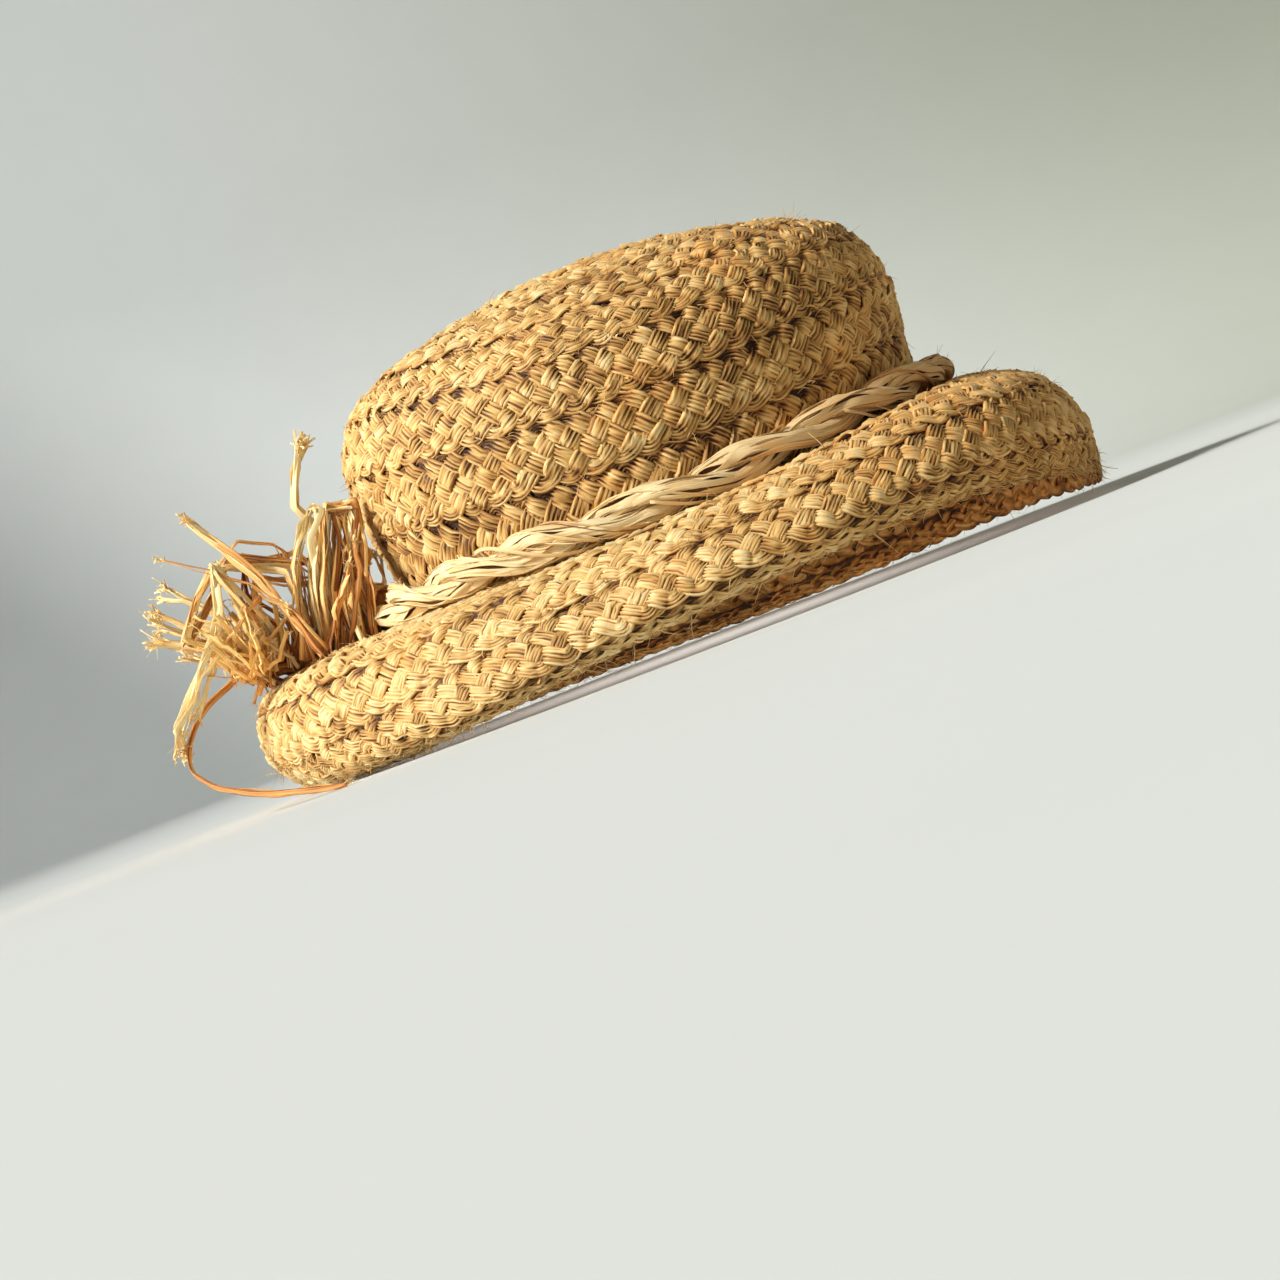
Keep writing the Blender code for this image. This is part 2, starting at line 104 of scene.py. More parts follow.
TAIL_ROUTES = (
    (6, 0.45, 1.3, 0.82, 4.5, -14, -12, ((-125, 43), (-116.5, 78), (-118.5, 88.5), (-121.8, 96),
     (-117, 108), (-112.5, 115))),
    (3, 0.5, 1.1, 0.66, 4, -39, -37, ((-127, 43), (-138, 74.5), (-144.5, 85), (-154.5, 101))),
    (2, 0.4, 0.75, 0.5, 3, -42, -39, ((-125, 44), (-131, 61.5), (-138, 68), (-141.5, 74),
     (-153, 83), (-167.5, 93.5))),
    (3, 0.7, 1, 0.8, 5, -16, -12, ((-149, 42), (-153, 58), (-156, 66), (-163, 72), (-169, 80),
     (-175, 86))),
    (3, 0.8, 1, 0.84, 5.5, -18, -13, ((-150, 42), (-156, 58), (-163.5, 66.5), (-173, 71),
     (-180.5, 79))),
    (3, 0.8, 1.05, 0.84, 5.5, -20, -17, ((-150, 42), (-157, 54), (-165, 62), (-172, 68),
     (-180, 72.5))),
    (4, 0.9, 1.1, 0.8, 5.5, -22, -20, ((-149, 41), (-156.5, 50), (-164.5, 57.5), (-172, 63),
     (-181, 69.5))),
    (3, 1, 0.8, 0.62, 4, -24, -24, ((-148, 41), (-158, 48.5), (-166, 55), (-171, 60))),
    (5, 0.9, 0.95, 0.82, 5, -38, -41, ((-143, 60), (-152, 85), (-154.5, 71), (-158.5, 62.5),
     (-166.5, 54.5), (-173, 45.5), (-181, 37), (-182.5, 29.5))),
    (2, 0.4, 0.85, 0.68, 3, -42, -43, ((-139, 69), (-152.5, 61), (-167, 51), (-180, 36))),
    (2, 0.5, 1.05, 0.7, 4, -34, -38, ((-157, 68), (-160, 60), (-165, 52), (-174.5, 38))),
    (8, 1.6, 0.85, 0.72, 5.5, -30, -31, ((-146, 41), (-144, 52), (-144, 60))),
    (6, 1.6, 0.9, 0.6, 5, -30, -30, ((-137, 42), (-133, 54), (-131, 62))),
    (5, 1.5, 1.2, 0.3, 0, -18, -18, ((-141, 43), (-137, 50), (-133, 60))),
    (5, 2, 1.1, 0.32, 0, -14, -14, ((-148, 42), (-145, 56), (-150, 68))),
    (16, 2.2, 1.9, 0.26, 0, -13, -15, ((-108, 38), (-122, 41), (-138, 44), (-152, 47))),
)
# Strands scatter more at their roots and ends, and have painted shade over a root's first stretch.
ROOT_SCATTER, END_SCATTER = 2.4, 1.6
ROOT_SHADE_RUN = 9.0
STRAND_STEP = 2.4
FRAYED_STRIPS = 5
# The golden frayed middle of the bow: its ends start round a foot and reach up from it.
CLUSTER_ENDS, CLUSTER_STEPS, CLUSTER_LOWEST = 92, 12, 46.0
CLUSTER_FOOT = np.array((-151.0, -30.0, 45.0))
CLUSTER_FOOT_SPREAD = np.array((3.5, 6.0, 2.0))
CLUSTER_REACH = np.array((-2.0, 0.0, 20.0))
CLUSTER_TIP_SPREAD = np.array((8.0, 6.0, 4.2))
TAIL_STRANDS, TAIL_STATIONS = 3, 74
LONG_TAIL = np.array((
    (-142.0, -8.0, 47.0), (-152.0, -11.0, 53.0), (-163.0, -16.0, 47.0),
    (-173.5, -25.0, 41.0), (-179.0, -37.0, 33.0), (-181.0, -46.0, 26.0), (-180.8, -50.0, 22.0),
    (-177.0, -55.5, 18.0), (-153.0, -82.0, 6.5), (-126.0, -107.0, 0.9),
))

# Braid: five flat bundles, each over one and under one.
STRANDS = 5
PERIOD = 45.0
STEPS = 26
BUNDLE_HALF_WIDTH = 3.25
BUNDLE_HALF_THICK = 0.92
WEAVE_HEIGHT = 1.1
EDGE_INSET = 1.3
FULL_ROW_WIDTH = 19.0
ROW_SAMPLES = 721
ROW_WANDER = 0.035
# Where a bundle turns back at its row's edge: closer stations, how round and how long the
# turn is, and how far it stands up where it isn't covered by the next round.
TURN_CROWDING, TURN_ROUNDING, TURN_SPAN, FOLD_LIFT = 0.45, 0.95, 0.055, 0.45
TIP_DROP = 0.4
CORE_SIDES, CORE_HALF_THICK = 96, 0.09
# Tones go from 0, dark, to 1, pale. The brim's base tone is paler than the crown's, as painted
# light. The changes are painted shade on slopes where a bundle dives under, at turns, below seams
# and in the grooves between straws, and a painted highlight where a fold stands up.
CROWN_TONE, BRIM_TONE = 0.74, 0.82
SLOPE_PAINTED_SHADE, TURN_PAINTED_SHADE, FOLD_PAINTED_HIGHLIGHT, SEAM_PAINTED_SHADE, GROOVE_PAINTED_SHADE = -0.34, -0.26, 0.22, -0.34, -0.42
SEAM_SPAN = 0.13
FIBRE_SPREAD = 900.0
# Pieces of braid: name, weave hand, edges of its rows. The brim's braid runs the other way.
BRAIDS = (
    ("crown_braid_top", 1, (0.10, 1.0, 2.0, 3.0, 4.0)),
    ("crown_braid_shoulder", 1, (4.0, 5.0, 6.0)),
    ("crown_braid_side", 1, (6.0, 7.0, 8.0)),
    ("brim_braid_root", -1, (8.0, 8.5, 9.0)),
    ("brim_braid_top", -1, (9.0, 10.0, 11.0)),
    ("brim_braid_side", -1, (11.0, 12.0, 12.55)),
)

rng = np.random.default_rng(SEED)


def restart(number):
    """Gives one piece its own random numbers, so that a change to another leaves it alone."""
    global rng
    rng = np.random.default_rng(SEED + number)


def smoothstep(x):
    x = np.clip(x, 0.0, 1.0)
    return x * x * (3.0 - 2.0 * x)


def hermite(knots, values, slopes, places):
    """A smooth curve through values with given slopes at its knots, read at some places."""
    at = np.clip(np.searchsorted(knots, places, side="right") - 1, 0, len(knots) - 2)
    step = knots[at + 1] - knots[at]
    u = ((places - knots[at]) / step)[..., None]
    step = step[..., None]
    return (
        values[at] * (1 + 2 * u) * (1 - u) ** 2
        + slopes[at] * step * u * (1 - u) ** 2
        + values[at + 1] * u * u * (3 - 2 * u)
        + slopes[at + 1] * step * u * u * (u - 1)
    )


def lengths_along(points):
    """Length of a line up to each of its points."""
    return np.r_[0, np.cumsum(np.linalg.norm(np.diff(points, axis=0), axis=1))]


def line_at(places, known, points):
    """Points on straight runs between the given ones, which lie at known places."""
    return np.stack([np.interp(places, known, points[:, k]) for k in range(3)], axis=1)


def unit(v):
    return v / np.maximum(np.linalg.norm(v, axis=-1, keepdims=True), 1e-9)


def wall_table():
    mirror = SECTIONS[1] * np.array([-1.0, -1.0, 1.0, -1.0, 1.0, -1.0, 1.0])
    table = np.vstack([mirror, SECTIONS])
    knots, values = table[:, 0], table[:, 1:]
    chords = np.diff(values, axis=0) / np.diff(knots)[:, None]
    slopes = np.vstack([chords[:1], (chords[1:] + chords[:-1]) / 2, chords[-1:]])
    for pair in (slice(0, 2), slice(2, 4), slice(4, 6)):
        lengths = np.linalg.norm(chords[:, pair], axis=1)
        most = np.r_[lengths[0], np.minimum(lengths[1:], lengths[:-1]), lengths[-1]]
        steep = np.linalg.norm(slopes[:, pair], axis=1)
        slopes[:, pair] *= (most / np.maximum(steep, 1e-9))[:, None]
    return knots, values, slopes


KNOTS, VALUES, SLOPES = wall_table()


def section_values(row):
    return hermite(KNOTS, VALUES, SLOPES, np.clip(row, TIP - 0.9, RIM + 0.1))


def rim_lift(row, angle):
    turn = (angle - LIFT_CENTRE + math.pi) % TAU - math.pi
    height = LIFT * np.cos(np.clip(turn / LIFT_HALF_SPAN, -1, 1) * math.pi / 2) ** 2
    for count, depth, crest in WAVES:
        height = height + depth * (1 + np.cos(count * (angle - crest)))
    return height * smoothstep((row - LIFT_STARTS_AT) / (LIFT_FULL_AT - LIFT_STARTS_AT))


def wall_point(row, angle):
    row, angle = np.broadcast_arrays(np.asarray(row, float), np.asarray(angle, float))
    front_r, front_z, side_r, side_z, back_r, back_z = np.moveaxis(section_values(row), -1, 0)
    ahead = np.cos(angle)
    length = np.where(ahead >= 0, front_r, back_r)
    height = np.where(ahead >= 0, front_z, back_z)
    z = side_z + (height - side_z) * ahead**2 + rim_lift(row, angle)
    return np.stack([OVAL_CENTRE_X + length * ahead, side_r * np.sin(angle), z], axis=-1)


def wall_frame(row, angle):
    row, angle = np.broadcast_arrays(np.asarray(row, float), np.asarray(angle, float))
    row = np.maximum(row, 0.03)
    small = 0.01
    down = unit(wall_point(row + small, angle) - wall_point(row - small, angle))
    round_ = wall_point(row, angle + small) - wall_point(row, angle - small)
    return down, unit(np.cross(down, round_))


class Heap:
    """Collects many small closed shapes, then makes one mesh of them."""

    def __init__(self):
        self.points, self.fibre, self.tone, self.under = [], [], [], []
        self.quads, self.caps = [], []
        self.count = 0

    def add(self, rings, fibre, tone, under, closed):
        """rings is (n, m, 3); closed joins the last ring to the first, else both ends get caps."""
        n, m = rings.shape[:2]
        start = self.count
        index = start + np.arange(n * m).reshape(n, m)
        first = index if closed else index[:-1]
        second = np.roll(index, -1, axis=0) if closed else index[1:]
        quads = np.stack(
            [first, second, np.roll(second, -1, axis=1), np.roll(first, -1, axis=1)], axis=-1
        )
        self.quads.append(quads.reshape(-1, 4))
        if not closed:
            self.caps.append(index[0])
            self.caps.append(index[-1][::-1])
        self.points.append(rings.reshape(-1, 3))
        self.fibre.append(fibre.reshape(-1, 3))
        self.tone.append(np.broadcast_to(tone, (n, m)).reshape(-1))
        self.under.append(np.broadcast_to(under, (n, m)).reshape(-1))
        self.count += n * m

    def mesh(self, name):
        points = np.concatenate(self.points) * MM
        quads = np.concatenate(self.quads)
        corners = quads.reshape(-1)
        totals = np.full(len(quads), 4)
        if self.caps:
            corners = np.concatenate([corners] + self.caps)
            totals = np.concatenate([totals, [len(cap) for cap in self.caps]])
        starts = np.concatenate([[0], np.cumsum(totals)[:-1]])
        mesh = bpy.data.meshes.new(name)
        mesh.vertices.add(len(points))
        mesh.vertices.foreach_set("co", points.astype(np.float32).reshape(-1))
        mesh.loops.add(len(corners))
        mesh.loops.foreach_set("vertex_index", corners.astype(np.int32))
        mesh.polygons.add(len(totals))
        mesh.polygons.foreach_set("loop_start", starts.astype(np.int32))
        mesh.polygons.foreach_set("loop_total", totals.astype(np.int32))
        for key, kind, values in (
            ("fibre", "FLOAT_VECTOR", np.concatenate(self.fibre)),
            ("tone", "FLOAT", np.concatenate(self.tone)),
            ("under", "FLOAT", np.concatenate(self.under)),
        ):
            layer = mesh.attributes.new(key, kind, "POINT")
            layer.data.foreach_set("vector" if kind == "FLOAT_VECTOR" else "value",
                                   values.astype(np.float32).reshape(-1))
        mesh.update(calc_edges=True)
        mesh.validate()
        mesh.shade_smooth()
        return mesh


def piece(name, heap, material, nodes):
    obj = bpy.data.objects.new(name, heap.mesh(name))
    obj.data.materials.append(material)
    bpy.context.scene.collection.objects.link(obj)
    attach(obj, "root")
    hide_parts(*nodes)


def square_to(tangent, v):
    """The part of a direction that lies square to a tangent, at full length."""
    return unit(v - tangent * np.sum(v * tangent, axis=1, keepdims=True))


def rolled(side, up, turn):
    """Two directions across a line, turned together about it."""
    cos_t, sin_t = np.cos(turn)[:, None], np.sin(turn)[:, None]
    return side * cos_t + up * sin_t, up * cos_t - side * sin_t


def swept(centre, across, away, xs, ys):
    """Rings of points round a line, xs to one side of it and ys to the other."""
    return (
        centre[:, None, :]
        + across[:, None, :] * xs[..., None]
        + away[:, None, :] * ys[..., None]
    )


def fibre_places(across, along, own):
    """Where points lie on their fibre: across it, along it, and a number of its own."""
    return np.stack(np.broadcast_arrays(across, along[:, None], np.float64(own)), axis=-1)


def slow_noise(places, waves, low, high):
    """A smooth random function of a 0 to 1 place, which closes on itself."""
    total = np.zeros_like(places)
    for _ in range(waves):
        total += np.sin(TAU * (rng.integers(low, high) * places + rng.random()))
    return total / math.sqrt(waves)


def weave_wave(u):
    """Over and under along a bundle: four crossings down, four up, level where it turns."""
    half = u % 0.5
    wave = -np.cos(10 * math.pi * half)
    wave = np.sign(wave) * np.abs(wave) ** 0.75
    return np.where((half > 0.05) & (half < 0.45), wave, 0.0)


# A bundle's section: five straws side by side on its face, plain behind.
BUNDLE_X = np.array([-1.0, -0.80, -0.61, -0.41, -0.21, -0.01, 0.20, 0.39, 0.59, 0.80, 1.0, 0.0])
BUNDLE_Y = np.array([0.0, 0.80, 0.22, 1.02, 0.34, 1.08, 0.28, 1.0, 0.20, 0.82, 0.0, -0.95])
# How much painted shade each point of the section gets in the grooves between straws.
BUNDLE_GROOVE = np.array([0.7, 0.0, 1.0, 0.0, 1.0, 0.0, 1.0, 0.0, 1.0, 0.0, 0.7, 0.15])
BUNDLE_UNDER = (BUNDLE_Y < -0.1).astype(float)


def braid_middle(part):
    """Height of the braid's middle over the wall's middle. Each round laps over the next one."""
    return 0.45 + 0.55 * np.sin(math.pi * part) ** 0.7 + 0.9 * (part - 0.45)


def row_mapping(low, high):
    """Plan angle as a function of the arc length's share round a row, and that length."""
    angle = np.linspace(0, TAU, ROW_SAMPLES)
    arc = lengths_along(wall_point((low + high) / 2, angle))
    return angle, arc / arc[-1], arc[-1]


def add_braid_row(heap, low, high, hand):
    angle, share, length = row_mapping(low, high)
    periods = max(2, int(round(length / PERIOD)))
    x = np.arange(periods * STEPS) / STEPS
    u = x - TURN_CROWDING * np.sin(4 * math.pi * x) / (4 * math.pi)
    start = rng.random()
    middle, half_row = (low + high) / 2, (high - low) / 2
    for strand in range(STRANDS):
        # Where the bundle runs: to and fro across its row, over and under the others.
        place = ((u + strand / STRANDS) / periods) % 1.0
        phi = np.interp((place + start) % 1.0, share, angle)
        width = np.linalg.norm(wall_point(high, phi) - wall_point(low, phi), axis=-1)
        squeeze = np.clip(width / FULL_ROW_WIDTH, 0.25, 1.15)
        edge = np.clip(1.0 - 2 * EDGE_INSET * squeeze / np.maximum(width, 1.0), 0.3, 0.98)
        swing = np.arcsin(TURN_ROUNDING * np.cos(TAU * u)) / math.asin(TURN_ROUNDING)
        wander = ROW_WANDER * slow_noise(place, 3, 3, 5 * periods)
        row = middle + half_row * (edge * swing + wander)
        height = hand * weave_wave(u) * (1 + 0.12 * slow_noise(place, 4, 5, 12 * periods))
        part = np.clip((row - low) / (high - low), 0, 1)
        lift = (
            braid_middle(part)
            + WEAVE_HEIGHT * squeeze * height
            + 0.2 * slow_noise(place, 4, 2, 6 * periods)
        )
        turn = np.exp(-((((u + 0.25) % 0.5) - 0.25) / TURN_SPAN) ** 2)
        shown = turn * smoothstep((part - 0.4) / 0.3)
        lift = lift + FOLD_LIFT * shown
        if low < 1.0:
            lift = lift - TIP_DROP * (1 - part)
        _, normal = wall_frame(row, phi)
        centre = wall_point(row, phi) + normal * lift[:, None]
        tangent = unit(np.roll(centre, -1, axis=0) - np.roll(centre, 1, axis=0))
        normal = square_to(tangent, normal)
        side = np.cross(normal, tangent)

        # Its section: narrower and thicker where it turns, rolled a little.
        puff = 1 + 0.18 * np.clip(height, 0, 1)
        uneven = 1 + 0.08 * slow_noise(place, 4, 2, 8 * periods)
        wide = BUNDLE_HALF_WIDTH * squeeze * (1 - 0.30 * turn + 0.22 * shown) * uneven
        thick = BUNDLE_HALF_THICK * squeeze**0.5 * (1 + 0.35 * turn) * puff
        roll = 0.20 * slow_noise(place, 4, 2, 8 * periods) + 0.10 * height
        across, up = rolled(side, normal, roll)
        ridge, slide, filled = (
            np.stack([slow_noise(place, 3, 2, waves * periods) for _ in BUNDLE_X], axis=1)
            for waves in (10, 6, 12)
        )
        slide = 0.075 * slide * (1 - np.abs(BUNDLE_X))
        depth = BUNDLE_Y * (1 + 0.20 * ridge) + 0.30 * filled * (BUNDLE_GROOVE > 0.8)
        rings = swept(
            centre, across, up, wide[:, None] * (BUNDLE_X + slide), thick[:, None] * depth
        )
        along = np.cumsum(np.linalg.norm(centre - np.roll(centre, 1, axis=0), axis=1))
        fibre = fibre_places(wide[:, None] * BUNDLE_X, along, rng.random() * FIBRE_SPREAD)

        # Painted light and shade: paler on the tops of crossings, painted shade on slopes where a
        # bundle dives under, at turns, below the seam and in the grooves between straws, and a
        # painted highlight where a fold stands up. The small random changes are the raffia's own.
        slope_painted_shade = (1 - np.minimum(np.abs(height), 1.0)) * (1 - turn)
        tone = (
            (CROWN_TONE if hand > 0 else BRIM_TONE) + 0.10 * height + SLOPE_PAINTED_SHADE * slope_painted_shade
            + 0.05 * rng.standard_normal() + 0.09 * slow_noise(place, 6, 3, 14 * periods)
            + TURN_PAINTED_SHADE * turn + FOLD_PAINTED_HIGHLIGHT * shown + SEAM_PAINTED_SHADE * np.exp(-part / SEAM_SPAN)
        )
        groove_painted_shade = BUNDLE_GROOVE * np.clip(1 - 0.8 * filled, 0.1, 1.6)
        tone = tone[:, None] + GROOVE_PAINTED_SHADE * groove_painted_shade + 0.09 * ridge
        heap.add(rings, fibre, tone, BUNDLE_UNDER[None, :], closed=True)


def make_core(name, first, last, nodes, material):
    """A thin dark backing in the middle of the braid, seen only between the bundles: a dark sheet
    that stands for the shade in the gaps.
    """
    middles = []
    for low, high in (pair for _, _, edges in BRAIDS for pair in zip(edges, edges[1:])):
        for part in (0.02, 0.12, 0.3, 0.5, 0.7, 0.88, 0.98):
            row = low + (high - low) * part
            if first <= row <= last:
                middles.append((row, braid_middle(part)))
    angle = np.arange(CORE_SIDES) * TAU / CORE_SIDES
    heap = Heap()
    rings = []
    for offset, order in ((CORE_HALF_THICK, middles), (-CORE_HALF_THICK, middles[::-1])):
        for row, middle in order:
            _, normal = wall_frame(row, angle)
            rings.append(wall_point(row, angle) + normal * (middle + offset))
    rings = np.array(rings)
    fibre = np.zeros(rings.shape)
    fibre[..., 0] = rings[..., 2] * 0.7
    fibre[..., 1] = np.broadcast_to(angle * 110.0, rings.shape[:2])
    heap.add(rings, fibre, 0.1, 0.0, closed=first > 0.5)
    piece(name, heap, material, nodes)


def carried_frames(points):
    """Two directions across a line at each point, carried along it without a twist."""
    tangents = unit(np.gradient(points, axis=0))
    side = np.cross(tangents[0], [0.0, 0.0, 1.0])
    if np.linalg.norm(side) < 0.2:
        side = np.cross(tangents[0], [0.0, 1.0, 0.0])
    sides = []
    for tangent in tangents:
        side = side - tangent * side.dot(tangent)
        side = side / np.linalg.norm(side)
        sides.append(side)
    sides = np.array(sides)
    return sides, np.cross(tangents, sides)


RIBBON_X = np.array([-1.0, -0.78, 0.72, 1.0, 0.78, -0.72])
RIBBON_Y = np.array([0.0, 1.0, 0.8, 0.0, -0.9, -1.0])
# Painted shade along a strip's two edges.
RIBBON_EDGE_SHADE = (np.abs(RIBBON_X) > 0.9) * 0.30
HAIR_X, HAIR_Y = np.array([-0.87, 0.87, 0.0]), np.array([-0.5, -0.5, 1.0])


def add_ribbon(heap, points, half_width, half_thick, turn=0.0, *, tone, hair=False, warm=0.0):
    """A flat strand along a route. Widths, thickness, turn and tone may vary along it."""
    side, up = carried_frames(points)
    n = len(points)
    half_width, half_thick = np.broadcast_to(half_width, n), np.broadcast_to(half_thick, n)
    turn, tone = np.broadcast_to(turn, n), np.broadcast_to(tone, n)
    xs, ys = (HAIR_X, HAIR_Y) if hair else (RIBBON_X, RIBBON_Y)
    across, away = rolled(side, up, turn)
    xs, ys = half_width[:, None] * xs, half_thick[:, None] * ys
    fibre = fibre_places(xs, lengths_along(points), rng.random() * FIBRE_SPREAD)
    # Strips get painted shade along their edges; hairs don't.
    edge = 0.0 if hair else RIBBON_EDGE_SHADE[None, :]
    heap.add(swept(points, across, away, xs, ys), fibre, tone[:, None] - edge, warm, closed=False)


def resample(points, count):
    """Points evenly along a smooth curve through the given ones."""
    points = np.asarray(points, float)
    chord = lengths_along(points)
    slopes = np.gradient(points, chord, axis=0)
    return hermite(chord, points, slopes, np.linspace(0, chord[-1], count))


def add_hair(heap, start, direction, length, *, radius, tone, droop=0.15, steps=6, warm=0.0):
    """One fine fibre that starts at a point and bends a little."""
    direction = unit(np.asarray(direction, float))
    bend = rng.standard_normal(3) * 0.35
    u = np.linspace(0, 1, steps)[:, None]
    points = start + length * (direction * u + (bend * 0.5 - np.array([0, 0, droop])) * u**2)
    points[:, 2] = np.maximum(points[:, 2], LOWEST_FIBRE)
    thin = radius * np.linspace(1.0, 0.35, steps)
    add_ribbon(heap, points, thin, thin, tone=tone, hair=True, warm=warm)


def add_brush(heap, tip, direction, count, length, spread, tone=0.85, warm=0.0):
    """A frayed end: fine pale fibres fanning out of a strand's tip."""
    for _ in range(count):
        way = unit(unit(direction) + spread * rng.standard_normal(3))
        add_hair(
            heap, tip - 0.8 * unit(direction), way, length * rng.uniform(0.5, 1.15),
            radius=rng.uniform(0.13, 0.23), tone=tone + 0.1 * rng.standard_normal(), warm=warm,
        )


def gutter_line(angle, outward, upward):
    """A cord's centre line: against the crown wall, and dropped until it rests on the brim."""
    rows = np.linspace(GUTTER - 0.7, GUTTER + 2.0, 55)[:, None]
    skin = wall_point(rows, angle[None, :])
    skin = skin + wall_frame(rows, angle[None, :])[1] * (WALL / 2 + ROW_SWELL)
    from_axis = np.hypot(skin[..., 0] - OVAL_CENTRE_X, skin[..., 1])
    reach = CORD_RADIUS + CORD_LOBE + CORD_CLEARANCE
    wall = rows[:, 0] <= GUTTER
    out = from_axis[wall].max(axis=0) + reach
    under = np.sqrt(np.clip(reach**2 - (from_axis - out) ** 2, 0.0, None))
    z = np.where(~wall[:, None] & (under > 0), skin[..., 2] + under, -1.0).max(axis=0)
    ray = skin[0] - np.array([OVAL_CENTRE_X, 0.0, 0.0])
    ray = ray[:, :2] / np.hypot(ray[:, 0], ray[:, 1])[:, None]
    away = ray * (out + outward)[:, None]
    return np.stack([OVAL_CENTRE_X + away[:, 0], away[:, 1], z + upward], axis=-1)


CORD_STATIONS, FRONT_SPAN = 350, 0.55
PLY_OFFSET, PLY_RADIUS = 3.25, 2.75
PLY_CORNERS, PLY_INNER, PLY_INNER_SHADE = 10, 0.80, 0.08
PLY_STRIPS, STRIP_HALF_WIDTH, STRIP_HALF_THICK, STRIP_TONE = 12, 1.22, 0.17, 0.97
LOOSE_STRIPS, CORD_FIBRES = 34, 90
# The knot's middle is about this far from the oval's centre.
GUTTER_RADIUS = 100.0
KNOT_STATIONS, KNOT_CORNERS = 40, 18
KNOT_WRAPS, WRAP_STATIONS, WRAP_HALF_THICK = 26, 44, 0.3


def add_ply(heap, centre, side, up, turn, loosen, slim):
    """One ply of the cord: flat strips of raffia wound round a dark middle, a tube that stands for
    the shade between the strips.
    """
    middle = centre + rolled(side, up, turn)[0] * (PLY_OFFSET * slim)[:, None]
    tangent = unit(np.gradient(middle, axis=0))
    across = square_to(tangent, side)
    over = np.cross(tangent, across)
    along = lengths_along(middle)
    place = along / along[-1]
    corner = np.arange(PLY_CORNERS) * TAU / PLY_CORNERS
    inner = PLY_RADIUS * PLY_INNER * slim[:, None]
    tube = swept(middle, across, over, np.cos(corner) * inner, np.sin(corner) * inner)
    fibre = fibre_places((corner * PLY_RADIUS)[None, :], along, rng.random() * FIBRE_SPREAD)
    # The dark middle: painted shade seen between the strips.
    heap.add(tube[::3], fibre[::3], PLY_INNER_SHADE, 0.0, closed=False)
    for strip in range(PLY_STRIPS):
        spot = (
            TAU * (strip + 0.35 * rng.standard_normal()) / PLY_STRIPS
            - 0.012 * along + 0.32 * slow_noise(place, 5, 2, 34)
        )
        out = rolled(across, over, spot)[0]
        reach = PLY_RADIUS * slim * (loosen + 0.14 * slow_noise(place, 5, 3, 40))
        reach = reach + 0.25 * rng.random()
        route = middle + out * reach[:, None]
        ahead = unit(np.gradient(route, axis=0))
        flat = unit(np.cross(ahead, out))
        roll = 0.32 * slow_noise(place, 4, 2, 30) + 0.12 * rng.standard_normal()
        wide_way, thin_way = rolled(flat, out, roll)
        wide = slim * (STRIP_HALF_WIDTH + 0.20 * rng.standard_normal())
        wide = wide * (1 + 0.20 * slow_noise(place, 4, 3, 36))
        xs = wide[:, None] * RIBBON_X
        rings = swept(route, wide_way, thin_way, xs, STRIP_HALF_THICK * RIBBON_Y)
        fibre = fibre_places(xs, along, rng.random() * FIBRE_SPREAD)
        tone = STRIP_TONE + 0.17 * rng.standard_normal() + 0.16 * slow_noise(place, 4, 2, 30)
        # Each strip gets painted shade along its edges.
        heap.add(rings, fibre, tone[:, None] - 1.3 * RIBBON_EDGE_SHADE[None, :], 0.0, closed=False)


def make_cord(material):
    half_gap = (KNOT_LENGTH / 2 + 0.6) / GUTTER_RADIUS
    angle = KNOT_ANGLE + np.linspace(half_gap, TAU - half_gap, CORD_STATIONS)
    # At the front the cord is a little thinner and lies deeper in the gutter.
    front = np.exp(-((np.remainder(angle + math.pi, TAU) - math.pi) / FRONT_SPAN) ** 2)
    centre = gutter_line(angle, 0.0, -0.8 - 2.0 * front)
    slim = 1 - 0.24 * front
    side, up = carried_frames(centre)
    turn = np.linspace(0, CORD_TURNS * TAU, len(angle))
    along = lengths_along(centre)
    from_end = np.minimum(along, along[-1] - along)
    loosen = 1 + 0.22 * np.exp(-((from_end - 13.0) / 9.0) ** 2)
    heap = Heap()
    for ply in (0.0, math.pi):
        add_ply(heap, centre, side, up, turn + ply, loosen, slim)
    for _ in range(LOOSE_STRIPS):
        first = rng.integers(4, len(centre) - 60)
        count = int(rng.integers(18, 50))
        part = slice(first, first + count)
        spot = rng.random() * TAU + turn[part] + np.linspace(0, rng.uniform(-0.3, 0.8), count)
        lift = 5.7 + 0.7 * np.sin(np.linspace(0, math.pi, count)) * rng.random()
        out = rolled(side[part], up[part], spot)[0]
        route = centre[part] + out * (lift * slim[part])[:, None]
        half_width, lean = rng.uniform(0.35, 0.8), rng.random() * 3
        add_ribbon(heap, route, half_width, 0.13, lean, tone=rng.uniform(0.35, 0.95))
    for _ in range(CORD_FIBRES):
        i = rng.integers(5, len(centre) - 5)
        spot = rng.random() * TAU
        out = side[i] * math.cos(spot) + up[i] * math.sin(spot)
        way = out * 0.6 + unit(centre[i + 1] - centre[i]) * rng.choice([-1, 1])
        add_hair(heap, centre[i] + out * 5.4, way, rng.uniform(3, 9), radius=0.11, tone=0.85)
    piece("cord_plies", heap, material, ["twisted_band"])


